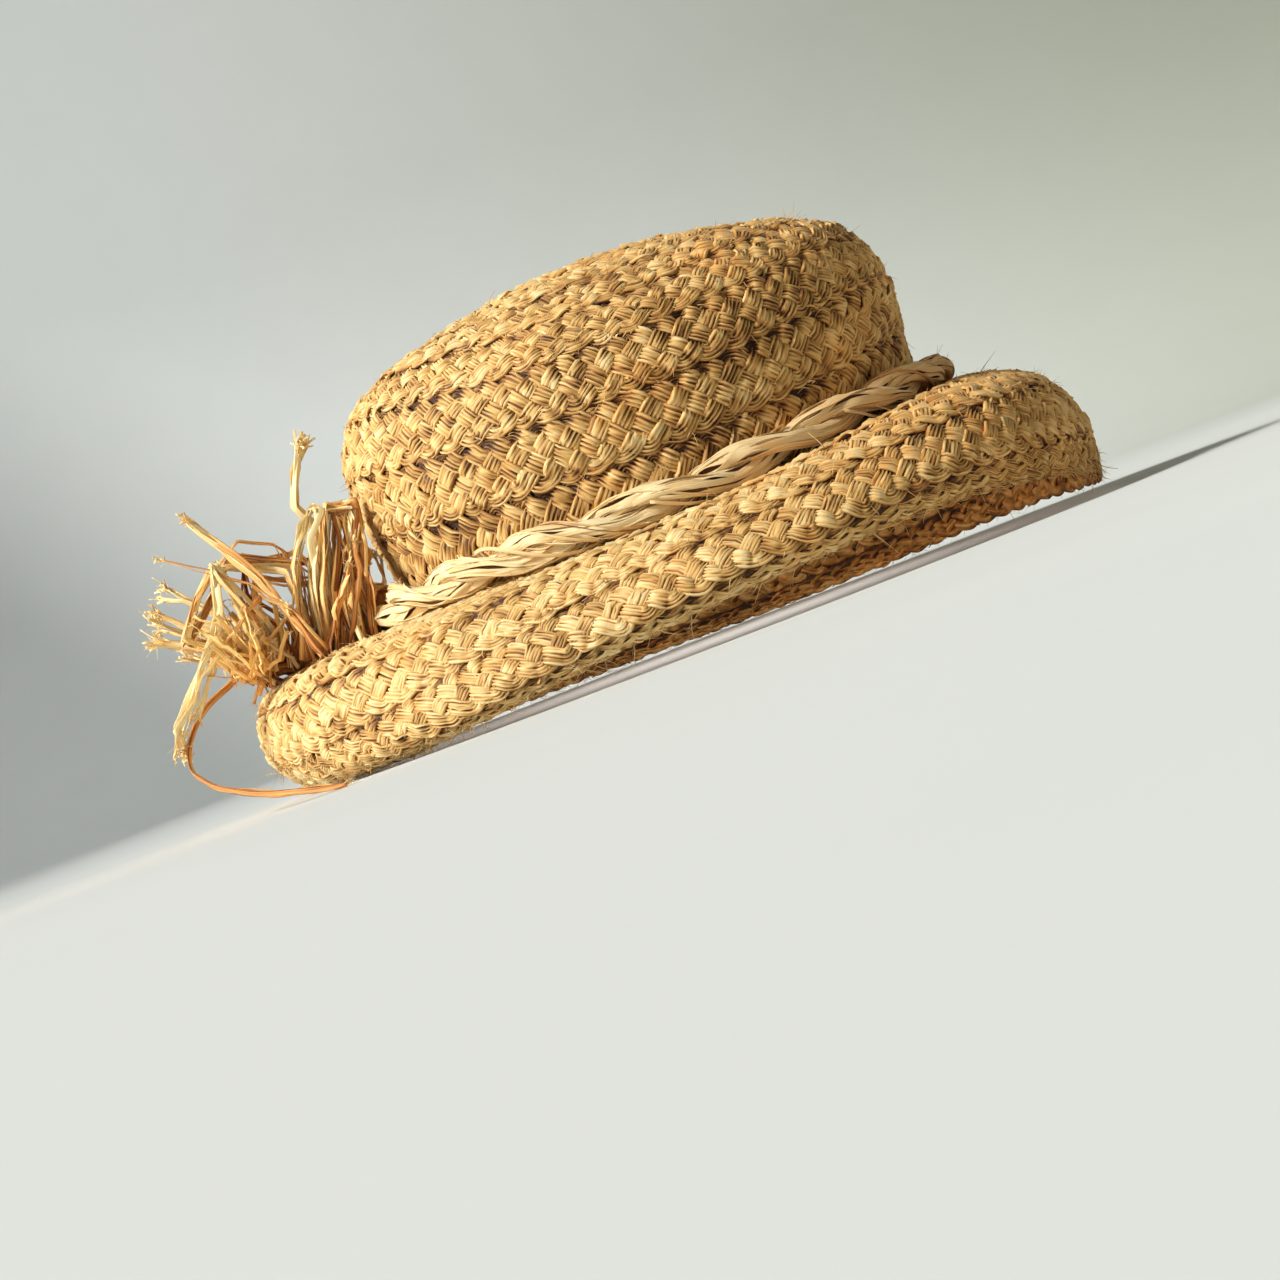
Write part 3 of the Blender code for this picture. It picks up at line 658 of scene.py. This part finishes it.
def make_knot(material):
    """Wraps of raffia round the joined cord ends."""
    half = KNOT_LENGTH / 2 / GUTTER_RADIUS
    angle = KNOT_ANGLE + np.linspace(-half, half, KNOT_STATIONS)
    along = np.linspace(-1, 1, KNOT_STATIONS)
    bulge = np.cos(along * math.pi / 2)
    centre = gutter_line(angle, KNOT_OUTWARD * bulge**2, KNOT_UPWARD * bulge**2)
    side, up = carried_frames(centre)
    heap = Heap()
    core = (4.6 + 2.2 * np.sqrt(bulge))[:, None]
    corner = np.arange(KNOT_CORNERS) * TAU / KNOT_CORNERS
    rings = swept(centre, side, up, np.cos(corner) * core, np.sin(corner) * core)
    fibre = fibre_places((corner * 6)[None, :], along * KNOT_LENGTH / 2, 3.0)
    heap.add(rings, fibre, 0.3, 0.0, closed=False)
    stations = np.arange(KNOT_STATIONS)
    for _ in range(KNOT_WRAPS):
        middle = rng.uniform(-0.78, 0.78)
        lean = rng.uniform(-0.22, 0.22) + 0.10
        spot = np.linspace(0, TAU * rng.uniform(0.75, 1.15), WRAP_STATIONS) + rng.random() * TAU
        place = np.clip(middle + lean * np.cos(spot), -1, 1)
        index = (place + 1) / 2 * (KNOT_STATIONS - 1)
        base, s, v = (line_at(index, stations, line) for line in (centre, side, up))
        fullness = np.sqrt(np.clip(np.cos(place * math.pi / 2), 0, 1))
        reach = 5.2 + 2.35 * fullness + rng.uniform(-0.15, 0.75)
        out = rolled(s, v, spot)[0]
        route = base + out * reach[:, None]
        out, tangent = unit(out), unit(np.gradient(route, axis=0))
        ends = np.linspace(0.3, 1, 5)
        wide = rng.uniform(0.8, 1.7) * np.r_[ends, np.ones(WRAP_STATIONS - 10), ends[::-1]]
        xs = wide[:, None] * RIBBON_X
        rings = swept(route, np.cross(tangent, out), out, xs, WRAP_HALF_THICK * RIBBON_Y)
        fibre = fibre_places(xs, spot * 7, rng.random() * FIBRE_SPREAD)
        heap.add(rings, fibre, rng.uniform(0.3, 0.9), 0.0, closed=False)
    piece("knot_wraps", heap, material, ["bow_knot"])


def folded_route(bends, scatter, y_root, y_end):
    """One strand's line: straight between its bends, sharply folded at each, a little uneven."""
    bends = np.array(bends, float)
    lengths = lengths_along(bends)
    share = lengths / lengths[-1]
    y = y_root + (y_end - y_root) * share
    points = np.stack([bends[:, 0] + OVAL_CENTRE_X, y, bends[:, 1]], axis=1)
    loose = np.ones(len(points))
    loose[0], loose[-1] = ROOT_SCATTER, END_SCATTER
    bend_scatter = (scatter * loose)[:, None] * np.array([1.0, 1.6, 0.9])
    points += rng.normal(0, 1, points.shape) * bend_scatter
    points += rng.normal(0, scatter, 3) * np.array([0.5, 1.6, 0.3])
    count = max(8, int(lengths[-1] / STRAND_STEP))
    places = np.unique(np.r_[np.linspace(0, 1, count), share])
    route = line_at(places, share, points)
    for k in range(3):
        route[:, k] += 0.35 * slow_noise(places, 3, 1, 6)
    route[1:-1] = 0.76 * route[1:-1] + 0.12 * (route[:-2] + route[2:])
    return route


def add_strand(heap, route, half_width, tone, fray):
    """A flat strip of raffia, with painted shade at its root, and paler towards a frayed end."""
    count = len(route)
    uneven = rng.uniform(0.5, 1.2)
    uneven = uneven * (1 + 0.12 * slow_noise(np.linspace(0, 1, count), 3, 1, 8))
    turn = math.pi / 2 + rng.normal(0, 0.45) + np.linspace(0, rng.normal(0, 0.8), count)
    run = lengths_along(route)
    shade = tone + rng.normal(0.20 if tone > 0.6 else 0.08, 0.18)
    # Painted shade over the root's first stretch.
    shade = shade + (0.10 * run / run[-1] if fray else 0.0) - 0.45 * np.exp(-run / ROOT_SHADE_RUN)
    add_ribbon(heap, route, half_width * uneven, rng.uniform(0.10, 0.17), turn, tone=shade)
    if not fray:
        return
    ahead = unit(route[-1] - route[-3])
    for _ in range(FRAYED_STRIPS):
        way = ahead * rng.uniform(0.3, 0.8) + 0.30 * rng.standard_normal(3)
        tip = route[-1] + way * fray
        curl = route[-1] * 0.45 + tip * 0.55 + 0.12 * fray * rng.standard_normal(3)
        end = resample([route[-2], route[-1], curl, tip], 7)
        wide = half_width * rng.uniform(0.25, 0.5)
        add_ribbon(heap, end, wide, 0.10, rng.random() * 3, tone=0.92)
    add_brush(heap, route[-1], ahead, 8, 0.8 * fray, spread=0.5, tone=1.0)


def add_bow(heap, routes):
    for count, scatter, half_width, tone, fray, y_root, y_end, bends in routes:
        for _ in range(count):
            route = folded_route(bends, scatter, y_root, y_end)
            add_strand(heap, route, half_width, tone, fray)


def add_cluster(heap):
    """Short crinkled golden ends crowded together, many with a burst of fibres at the tip."""
    places = np.linspace(0, 1, CLUSTER_STEPS)
    for _ in range(CLUSTER_ENDS):
        start = CLUSTER_FOOT + rng.normal(0, 1, 3) * CLUSTER_FOOT_SPREAD
        end = start + CLUSTER_REACH * rng.uniform(0.35, 1.15)
        end = end + rng.normal(0, 1, 3) * CLUSTER_TIP_SPREAD
        end[2] = max(end[2], CLUSTER_LOWEST)
        elbow = (start + end) / 2 + rng.normal(0, 2.4, 3)
        route = np.array([start, elbow, end])
        route[:, 0] += OVAL_CENTRE_X
        line = np.stack([
            np.interp(places, (0, rng.uniform(0.35, 0.65), 1), route[:, k]) for k in range(3)
        ], axis=1)
        line += 0.3 * rng.standard_normal(line.shape)
        half_width, turn = rng.uniform(0.45, 0.95), rng.random() * 3
        # Painted shade at each end's foot among the crowded ends, paler towards its tip.
        tone = np.linspace(0.78, rng.uniform(1.0, 1.2), CLUSTER_STEPS)
        add_ribbon(heap, line, half_width, 0.12, turn, tone=tone, warm=0.85)
        add_brush(heap, line[-1], rng.standard_normal(3), 8, rng.uniform(2.0, 4.5),
                  spread=1.4, tone=1.05, warm=0.55)


def add_long_tail(heap):
    line = LONG_TAIL + np.array([OVAL_CENTRE_X, 0, 0])
    places = np.linspace(0, 1, TAIL_STATIONS)
    for strand in range(TAIL_STRANDS):
        route = resample(line, TAIL_STATIONS)
        route += rng.normal(0, 0.5, 3)
        route += 0.35 * np.stack([slow_noise(places, 3, 1, 6) for _ in range(3)], axis=1)
        route[:, 2] = np.maximum(route[:, 2], 0.55 + 0.3 * strand)
        turn = math.pi / 2 + np.linspace(0, rng.uniform(-2, 2), TAIL_STATIONS)
        add_ribbon(heap, route, rng.uniform(0.7, 1.1), 0.16, turn, tone=rng.uniform(0.45, 0.75))
        add_brush(heap, route[-1], route[-1] - route[-4], 5, 5, spread=0.3)


SEAM_HEIGHT, LOWEST_FIBRE = 1.7, 0.4
STRIP_END_WIDTHS = np.array([0.4, 0.9, 1.0, 1.0, 0.8, 0.3])
# Upright single fibres on the crown's front and brim: row, plan angle, number, length.
LONE_FIBRES = (
    (3.95, 0.00, 6, 9.0), (3.9, -0.35, 4, 5.0), (6.0, 0.05, 6, 6.0), (5.1, 0.1, 4, 5.0),
    (10.8, 0.00, 12, 6.0), (10.9, -0.25, 8, 5.0), (11.9, 0.1, 6, 5.0),
)


def seam_place(low, scatter):
    angle = np.array(rng.random() * TAU)
    row = np.array(min(low + rng.normal(0, scatter), RIM))
    down, normal = wall_frame(row, angle)
    return wall_point(row, angle), down, normal, np.cross(normal, down)


def add_seam_hair(heap, low, length):
    """One short fibre out of a seam, or out of the rim's edge, where they lie flatter."""
    at_rim = low >= RIM
    point, down, normal, round_ = seam_place(low, 0.10)
    way = normal * rng.uniform(0.1, 0.8) + down * rng.normal(0.2, 0.8)
    way = way + round_ * rng.normal(0, 1.0)
    if at_rim:
        way = normal * rng.normal(0.1, 0.5) + down * rng.uniform(-0.1, 0.6)
        way = way + round_ * rng.normal(0, 1.1)
    add_hair(
        heap, point + normal * SEAM_HEIGHT, way, length * rng.uniform(0.4, 1.3),
        radius=rng.uniform(0.09, 0.19), tone=rng.uniform(0.75 if at_rim else 0.40, 1.0),
        steps=4, warm=rng.uniform(0.0, 1.0),
    )


def add_strip_end(heap, low):
    """One loose end of a strip, which bulges out of a seam."""
    point, down, normal, round_ = seam_place(low, 0.07)
    lean = rng.choice([-1, 1]) * rng.uniform(0.25, 0.9)
    ahead = unit(round_ * rng.choice([-1, 1]) + down * lean)
    half = rng.uniform(1.6, 3.8)
    rise = rng.uniform(1.3, 2.3)
    route = resample([
        point - ahead * half + normal * rise * 0.35,
        point + normal * rise + 0.3 * rng.standard_normal(3),
        point + ahead * half + normal * rise * rng.uniform(0.3, 1.1),
    ], len(STRIP_END_WIDTHS))
    wide = rng.uniform(0.35, 0.75) * STRIP_END_WIDTHS
    roll = rng.normal(0, 0.5)
    add_ribbon(heap, route, wide, 0.14, roll, tone=rng.uniform(0.30, 0.95),
               warm=rng.uniform(0.0, 1.0))


def add_lone_fibre(heap, row, angle, length):
    """One longer fibre that stands up from the surface at a place."""
    place = np.array(angle + rng.normal(0, 0.06))
    at_row = np.array(row + rng.normal(0, 0.05))
    _, normal = wall_frame(at_row, place)
    way = normal * 0.9 + np.array([0, 0, 0.5]) + 0.4 * rng.standard_normal(3)
    add_hair(heap, wall_point(at_row, place) + normal, way, length * rng.uniform(0.5, 1.1),
             radius=0.15, tone=0.8, droop=0.0)


def make_wisps(name, rows, nodes, material):
    """Fuzz and loose strip ends along the seams."""
    heap = Heap()
    for low, count, length in rows:
        for _ in range(count):
            add_seam_hair(heap, low, length)
        for _ in range(count // 2):
            add_strip_end(heap, low)
    for row, angle, count, length in LONE_FIBRES:
        if rows[0][0] <= row <= rows[-1][0]:
            for _ in range(count):
                add_lone_fibre(heap, row, angle, length)
    piece(name, heap, material, nodes)


# Seams with loose fibres: row, number, length.
CROWN_WISPS = (
    (1.0, 30, 4), (2.0, 70, 5), (3.0, 110, 5), (4.0, 160, 5), (5.0, 180, 5), (6.0, 180, 5),
    (7.0, 180, 5),
)
BRIM_WISPS = (
    (9.0, 200, 6), (10.0, 220, 6), (11.0, 240, 6), (12.0, 200, 6), (RIM, 560, 7),
)

WHITE = (1.0, 1.0, 1.0)
TOASTED_TINT = (0.98, 0.80, 0.60)
STRAW_ROUGHNESS = 0.62


def noise_node(tree, vector, scale, detail, roughness=0.55):
    noise = tree.nodes.new("ShaderNodeTexNoise")
    noise.inputs["Scale"].default_value = scale
    noise.inputs["Detail"].default_value = detail
    noise.inputs["Roughness"].default_value = roughness
    tree.links.new(vector, noise.inputs["Vector"])
    return noise.outputs["Fac"]


def mapped(tree, value, source, target=(0.0, 1.0), smooth=False):
    """A value of one range, mapped to another one."""
    node = tree.nodes.new("ShaderNodeMapRange")
    if smooth:
        node.interpolation_type = "SMOOTHSTEP"
    tree.links.new(value, node.inputs["Value"])
    for socket, limit in zip(("From Min", "From Max", "To Min", "To Max"), (*source, *target)):
        node.inputs[socket].default_value = limit
    return node.outputs["Result"]


def multiplied(tree, colour, tint, share):
    """A colour, multiplied by a tint as far as the share says."""
    node = tree.nodes.new("ShaderNodeMix")
    node.data_type = "RGBA"
    node.blend_type = "MULTIPLY"
    tree.links.new(share, node.inputs["Factor"])
    tree.links.new(colour, node.inputs["A"])
    node.inputs["B"].default_value = (*tint, 1.0)
    return node.outputs["Result"]


def straw_material(name, ramp, under_tint, ridges_per_mm, bump=0.35, front_shade_tint=WHITE):
    material = bpy.data.materials.new(name)
    material.use_nodes = True
    tree = material.node_tree
    nodes, links = tree.nodes, tree.links
    shader = nodes["Principled BSDF"]
    shader.inputs["Specular IOR Level"].default_value = 0.32
    shader.inputs["Sheen Weight"].default_value = 0.12
    shader.inputs["Sheen Roughness"].default_value = 0.45
    shader.inputs["Sheen Tint"].default_value = (1.0, 0.92, 0.75, 1.0)

    def attribute(key, output):
        node = nodes.new("ShaderNodeAttribute")
        node.attribute_name = key
        return node.outputs[output]

    def scaled(vector, factors):
        node = nodes.new("ShaderNodeVectorMath")
        node.operation = "MULTIPLY"
        links.new(vector, node.inputs[0])
        node.inputs[1].default_value = factors
        return node.outputs[0]

    def maths(operation, first, second, clamp=False):
        node = nodes.new("ShaderNodeMath")
        node.operation = operation
        node.use_clamp = clamp
        for socket, value in zip(node.inputs, (first, second)):
            if isinstance(value, (int, float)):
                socket.default_value = value
            else:
                links.new(value, socket)
        return node.outputs[0]

    # Straws side by side: quick change across a bundle, slow change along it.
    fibre = attribute("fibre", "Vector")
    straws = noise_node(tree, scaled(fibre, (ridges_per_mm, 0.035, 1.0)), 1.0, 2.0)
    fine = noise_node(tree, scaled(fibre, (ridges_per_mm * 4.5, 0.16, 1.0)), 1.0, 3.0, 0.6)
    place = nodes.new("ShaderNodeTexCoord").outputs["Object"]
    patches = noise_node(tree, place, 38.0, 3.0)
    mixed = attribute("tone", "Fac")
    for noise, share in ((straws, 0.95), (fine, 0.40), (patches, 0.55)):
        change = maths("MULTIPLY", maths("SUBTRACT", noise, 0.5), share)
        mixed = maths("ADD", mixed, change, clamp=noise is patches)
    colours = nodes.new("ShaderNodeValToRGB")
    elements = colours.color_ramp.elements
    while len(elements) < len(ramp):
        elements.new(0.5)
    for element, (position, colour) in zip(elements, ramp):
        element.position = position
        element.color = (*colour, 1.0)
    links.new(mixed, colours.inputs["Fac"])

    # Tints: the braid's back and the bow's golden ends, toasted patches, and painted shade over
    # the front, the side turned away from the window.
    axes = nodes.new("ShaderNodeSeparateXYZ")
    links.new(place, axes.inputs["Vector"])
    toasted = mapped(tree, patches, (0.50, 0.74))
    # The front's tint is painted shade: it darkens and warms the shaded front side.
    front = mapped(tree, axes.outputs["X"], (-0.02, 0.15), smooth=True)
    colour = multiplied(tree, colours.outputs["Color"], under_tint, attribute("under", "Fac"))
    colour = multiplied(tree, colour, TOASTED_TINT, toasted)
    colour = multiplied(tree, colour, front_shade_tint, front)
    links.new(colour, shader.inputs["Base Color"])

    rough = mapped(tree, fine, (0.0, 1.0), (STRAW_ROUGHNESS - 0.12, STRAW_ROUGHNESS + 0.16))
    links.new(rough, shader.inputs["Roughness"])
    bumps = nodes.new("ShaderNodeBump")
    bumps.inputs["Strength"].default_value = 1.0
    bumps.inputs["Distance"].default_value = bump * MM
    links.new(maths("ADD", straws, maths("MULTIPLY", fine, 0.45)), bumps.inputs["Height"])
    links.new(bumps.outputs["Normal"], shader.inputs["Normal"])
    return material


# Colours from dark to pale: position on the ramp, then red, green, blue.
# The braid core's ramp is painted shade.
CORE_SHADE_RAMP = ((0.0, (0.05, 0.025, 0.008)), (1.0, (0.22, 0.12, 0.045)))
STRAW_RAMP = (
    (0.04, (0.050, 0.015, 0.003)), (0.24, (0.25, 0.098, 0.018)), (0.46, (0.54, 0.290, 0.080)),
    (0.68, (0.82, 0.535, 0.190)), (0.92, (0.98, 0.775, 0.405)),
)
CORD_RAMP = (
    (0.05, (0.12, 0.040, 0.010)), (0.30, (0.50, 0.255, 0.085)), (0.52, (0.84, 0.560, 0.255)),
    (0.74, (0.95, 0.700, 0.345)), (0.95, (0.99, 0.82, 0.48)),
)
BOW_RAMP = (
    (0.05, (0.12, 0.033, 0.008)), (0.28, (0.38, 0.130, 0.030)), (0.50, (0.70, 0.315, 0.085)),
    (0.72, (0.95, 0.61, 0.22)), (0.95, (1.0, 0.85, 0.47)),
)

# The stage: floor, curve and wall in millimetres, and the paper's darker reaches in metres.
FLOOR_REACH, WALL_BEND, WALL_TOP, STAGE_SIDES = 2300.0, 900.0, 2600.0, 128
PAPER_TINTS = (
    ("Z", (0.0, 0.7), (0.86, 0.86, 0.85)),
    # Darker towards +X: painted shade where the sun falls on the wall, with the paper's own green
    # tint.
    ("X", (-1.2, 2.2), (0.56, 0.57, 0.47)),
)
# Lights in metres and watts: name, place, aim, size, power, colour, spread in degrees.
WINDOW_COLOUR = (1.0, 0.985, 0.955)
AREA_LIGHTS = (
    ("window", (-1.6, -0.68, 1.25), (0.0, 0.0, 0.06), (0.9, 0.9), 30.0, WINDOW_COLOUR, 180.0),
    ("top_fill", (0.1, 0.1, 1.7), (0.0, 0.0, 0.0), (1.6, 1.6), 0.8, (1.0, 0.88, 0.72), 180.0),
    ("low_fill", (0.35, -1.3, 0.30), (0.06, 0.0, 0.03), (1.4, 0.5), 0.35,
     (1.0, 0.86, 0.68), 180.0),
    ("under_fill", (0.02, -0.01, 0.095), (0.02, 0.0, 0.0), (0.12, 0.10), 0.12,
     (1.0, 0.97, 0.94), 180.0),
    ("bow_light", (-0.80, -0.52, 0.30), (-0.155, -0.03, 0.068), (0.10, 0.10), 0.038,
     (1.0, 0.86, 0.66), 20.0),
    ("wall_light", (-0.5, 1.2, 1.7), (-2.2, 2.6, 0.4), (2.0, 0.6), 7.0,
     (0.97, 1.0, 0.985), 180.0),
)


def stage_mesh():
    """A square floor with round corners that curves up into its walls."""
    bend = np.linspace(0.2, math.pi / 2, 10)
    radii = [0.0, 600.0, 1400.0, FLOOR_REACH]
    radii += [FLOOR_REACH + WALL_BEND * math.sin(a) for a in bend] + [FLOOR_REACH + WALL_BEND]
    heights = [0.0] * 4 + [WALL_BEND - WALL_BEND * math.cos(a) for a in bend] + [WALL_TOP]
    verts, faces = [(0.0, 0.0, 0.0)], []
    for radius, height in zip(radii[1:], heights[1:]):
        for k in range(STAGE_SIDES):
            a = TAU * k / STAGE_SIDES
            square = (abs(math.cos(a)) ** 8 + abs(math.sin(a)) ** 8) ** (-1 / 8)
            reach = radius * (1 + (square - 1) * min(1.0, radius / FLOOR_REACH)) * MM
            verts.append((reach * math.cos(a), reach * math.sin(a), height * MM))
    for k in range(STAGE_SIDES):
        faces.append((0, 1 + k, 1 + (k + 1) % STAGE_SIDES))
    for ring in range(len(radii) - 2):
        first, second = 1 + ring * STAGE_SIDES, 1 + (ring + 1) * STAGE_SIDES
        for k in range(STAGE_SIDES):
            j = (k + 1) % STAGE_SIDES
            faces.append((first + k, second + k, second + j, first + j))
    mesh = bpy.data.meshes.new("studio_floor")
    mesh.from_pydata(verts, [], faces)
    mesh.shade_smooth()
    return mesh


def paper_material():
    """Pale paper, a shade darker up its walls. Towards the front side it is darker and greener:
    the green is the paper's own, the darkening painted shade on the side the sun lights most.
    """
    material = bpy.data.materials.new("studio_paper")
    material.use_nodes = True
    tree = material.node_tree
    shader = tree.nodes["Principled BSDF"]
    place = tree.nodes.new("ShaderNodeTexCoord").outputs["Object"]
    shade = tree.nodes.new("ShaderNodeValToRGB")
    shade.color_ramp.elements[0].color = (0.79, 0.82, 0.83, 1.0)
    shade.color_ramp.elements[1].color = (0.83, 0.86, 0.87, 1.0)
    tree.links.new(noise_node(tree, place, 9.0, 4.0, 0.5), shade.inputs["Fac"])
    axes = tree.nodes.new("ShaderNodeSeparateXYZ")
    tree.links.new(place, axes.inputs["Vector"])
    colour = shade.outputs["Color"]
    for axis, reach, tint in PAPER_TINTS:
        share = mapped(tree, axes.outputs[axis], reach, smooth=True)
        colour = multiplied(tree, colour, tint, share)
    tree.links.new(colour, shader.inputs["Base Color"])
    shader.inputs["Roughness"].default_value = 0.85
    shader.inputs["Specular IOR Level"].default_value = 0.2
    return material


def make_stage():
    mesh = stage_mesh()
    mesh.materials.append(paper_material())
    floor = bpy.data.objects.new("studio_floor", mesh)
    bpy.context.scene.collection.objects.link(floor)


def add_light(light, direction):
    """Links a light that shines along a direction."""
    obj = bpy.data.objects.new(light.name, light)
    obj.rotation_euler = Vector(direction).to_track_quat("-Z", "Y").to_euler()
    bpy.context.scene.collection.objects.link(obj)
    return obj


def make_lights():
    for name, place, aim, size, power, colour, spread in AREA_LIGHTS:
        light = bpy.data.lights.new(name, "AREA")
        light.shape = "RECTANGLE"
        light.size, light.size_y = size
        light.spread = math.radians(spread)
        light.energy = power
        light.color = colour
        obj = add_light(light, Vector(aim) - Vector(place))
        obj.location = place
        obj.visible_camera = False
    sun = bpy.data.lights.new("window_far", "SUN")
    sun.energy = 3.1
    sun.angle = math.radians(9.0)
    sun.color = WINDOW_COLOUR
    add_light(sun, (0.72, 0.31, -0.62))
    world = bpy.data.worlds.new("studio")
    bpy.context.scene.world = world
    world.use_nodes = True
    background = world.node_tree.nodes["Background"]
    background.inputs["Color"].default_value = (1.0, 0.96, 0.90, 1.0)
    background.inputs["Strength"].default_value = 0.15


# The photograph's camera, in metres: low, beside the near side, and rolled, so that the
# front stands up.
CAMERA_PLACE = Vector(((OVAL_CENTRE_X - 25.7) * MM, -0.80, 0.0135))
CAMERA_ROLL = math.radians(21.0)
CAMERA_PITCH = math.radians(-0.3)
CAMERA_LENS, CAMERA_SENSOR = 63.3, 36.0


def make_camera():
    camera = bpy.data.objects.new("camera", bpy.data.cameras.new("camera"))
    bpy.context.scene.collection.objects.link(camera)
    camera.data.sensor_width = CAMERA_SENSOR
    camera.data.sensor_height = CAMERA_SENSOR
    camera.data.lens = CAMERA_LENS
    camera.data.clip_start = 0.01
    forward = Vector((0.0, math.cos(CAMERA_PITCH), math.sin(CAMERA_PITCH)))
    level_up = Vector((0.0, -math.sin(CAMERA_PITCH), math.cos(CAMERA_PITCH)))
    right = Vector((1.0, 0.0, 0.0))
    up = level_up * math.cos(CAMERA_ROLL) + right * math.sin(CAMERA_ROLL)
    right = forward.cross(up)
    camera.matrix_world = Matrix((
        (right.x, up.x, -forward.x, CAMERA_PLACE.x),
        (right.y, up.y, -forward.y, CAMERA_PLACE.y),
        (right.z, up.z, -forward.z, CAMERA_PLACE.z),
        (0.0, 0.0, 0.0, 1.0),
    ))
    bpy.context.scene.camera = camera


def main():
    bpy.context.scene.view_settings.view_transform = "Standard"
    make_camera()
    make_stage()
    make_lights()
    braid = straw_material(
        "braided_raffia_looks", STRAW_RAMP, (1.0, 0.93, 0.82), 0.95, front_shade_tint=(0.92, 0.76, 0.58)
    )
    core = straw_material("braid_core_painted_shade", CORE_SHADE_RAMP, WHITE, 0.6)
    # The cord gets a stronger painted shade over its front.
    cord = straw_material(
        "raffia_cord_looks", CORD_RAMP, WHITE, 1.8, front_shade_tint=(0.72, 0.52, 0.34)
    )
    bow = straw_material("raffia_bow_looks", BOW_RAMP, (1.0, 0.80, 0.50), 1.6, bump=0.25)
    for name, hand, edges in BRAIDS:
        heap = Heap()
        for low, high in zip(edges, edges[1:]):
            add_braid_row(heap, low, high, hand)
        node = "crown" if hand > 0 else "brim"
        piece(name, heap, braid, [node])
    make_core("crown_core", 0.05, 7.97, ["crown"], core)
    make_core("brim_core", 8.03, 12.45, ["brim"], core)
    restart(1)
    make_cord(cord)
    restart(2)
    make_knot(bow)
    restart(3)
    loops = Heap()
    add_bow(loops, LOOP_ROUTES)
    piece("bow_loop_strands", loops, bow, ["bow_loops"])
    restart(4)
    tails = Heap()
    add_bow(tails, TAIL_ROUTES)
    add_cluster(tails)
    add_long_tail(tails)
    piece("bow_tail_strands", tails, bow, ["bow_tails"])
    restart(5)
    make_wisps("crown_wisps", CROWN_WISPS, ["crown"], braid)
    make_wisps("brim_wisps", BRIM_WISPS, ["brim"], braid)


main()
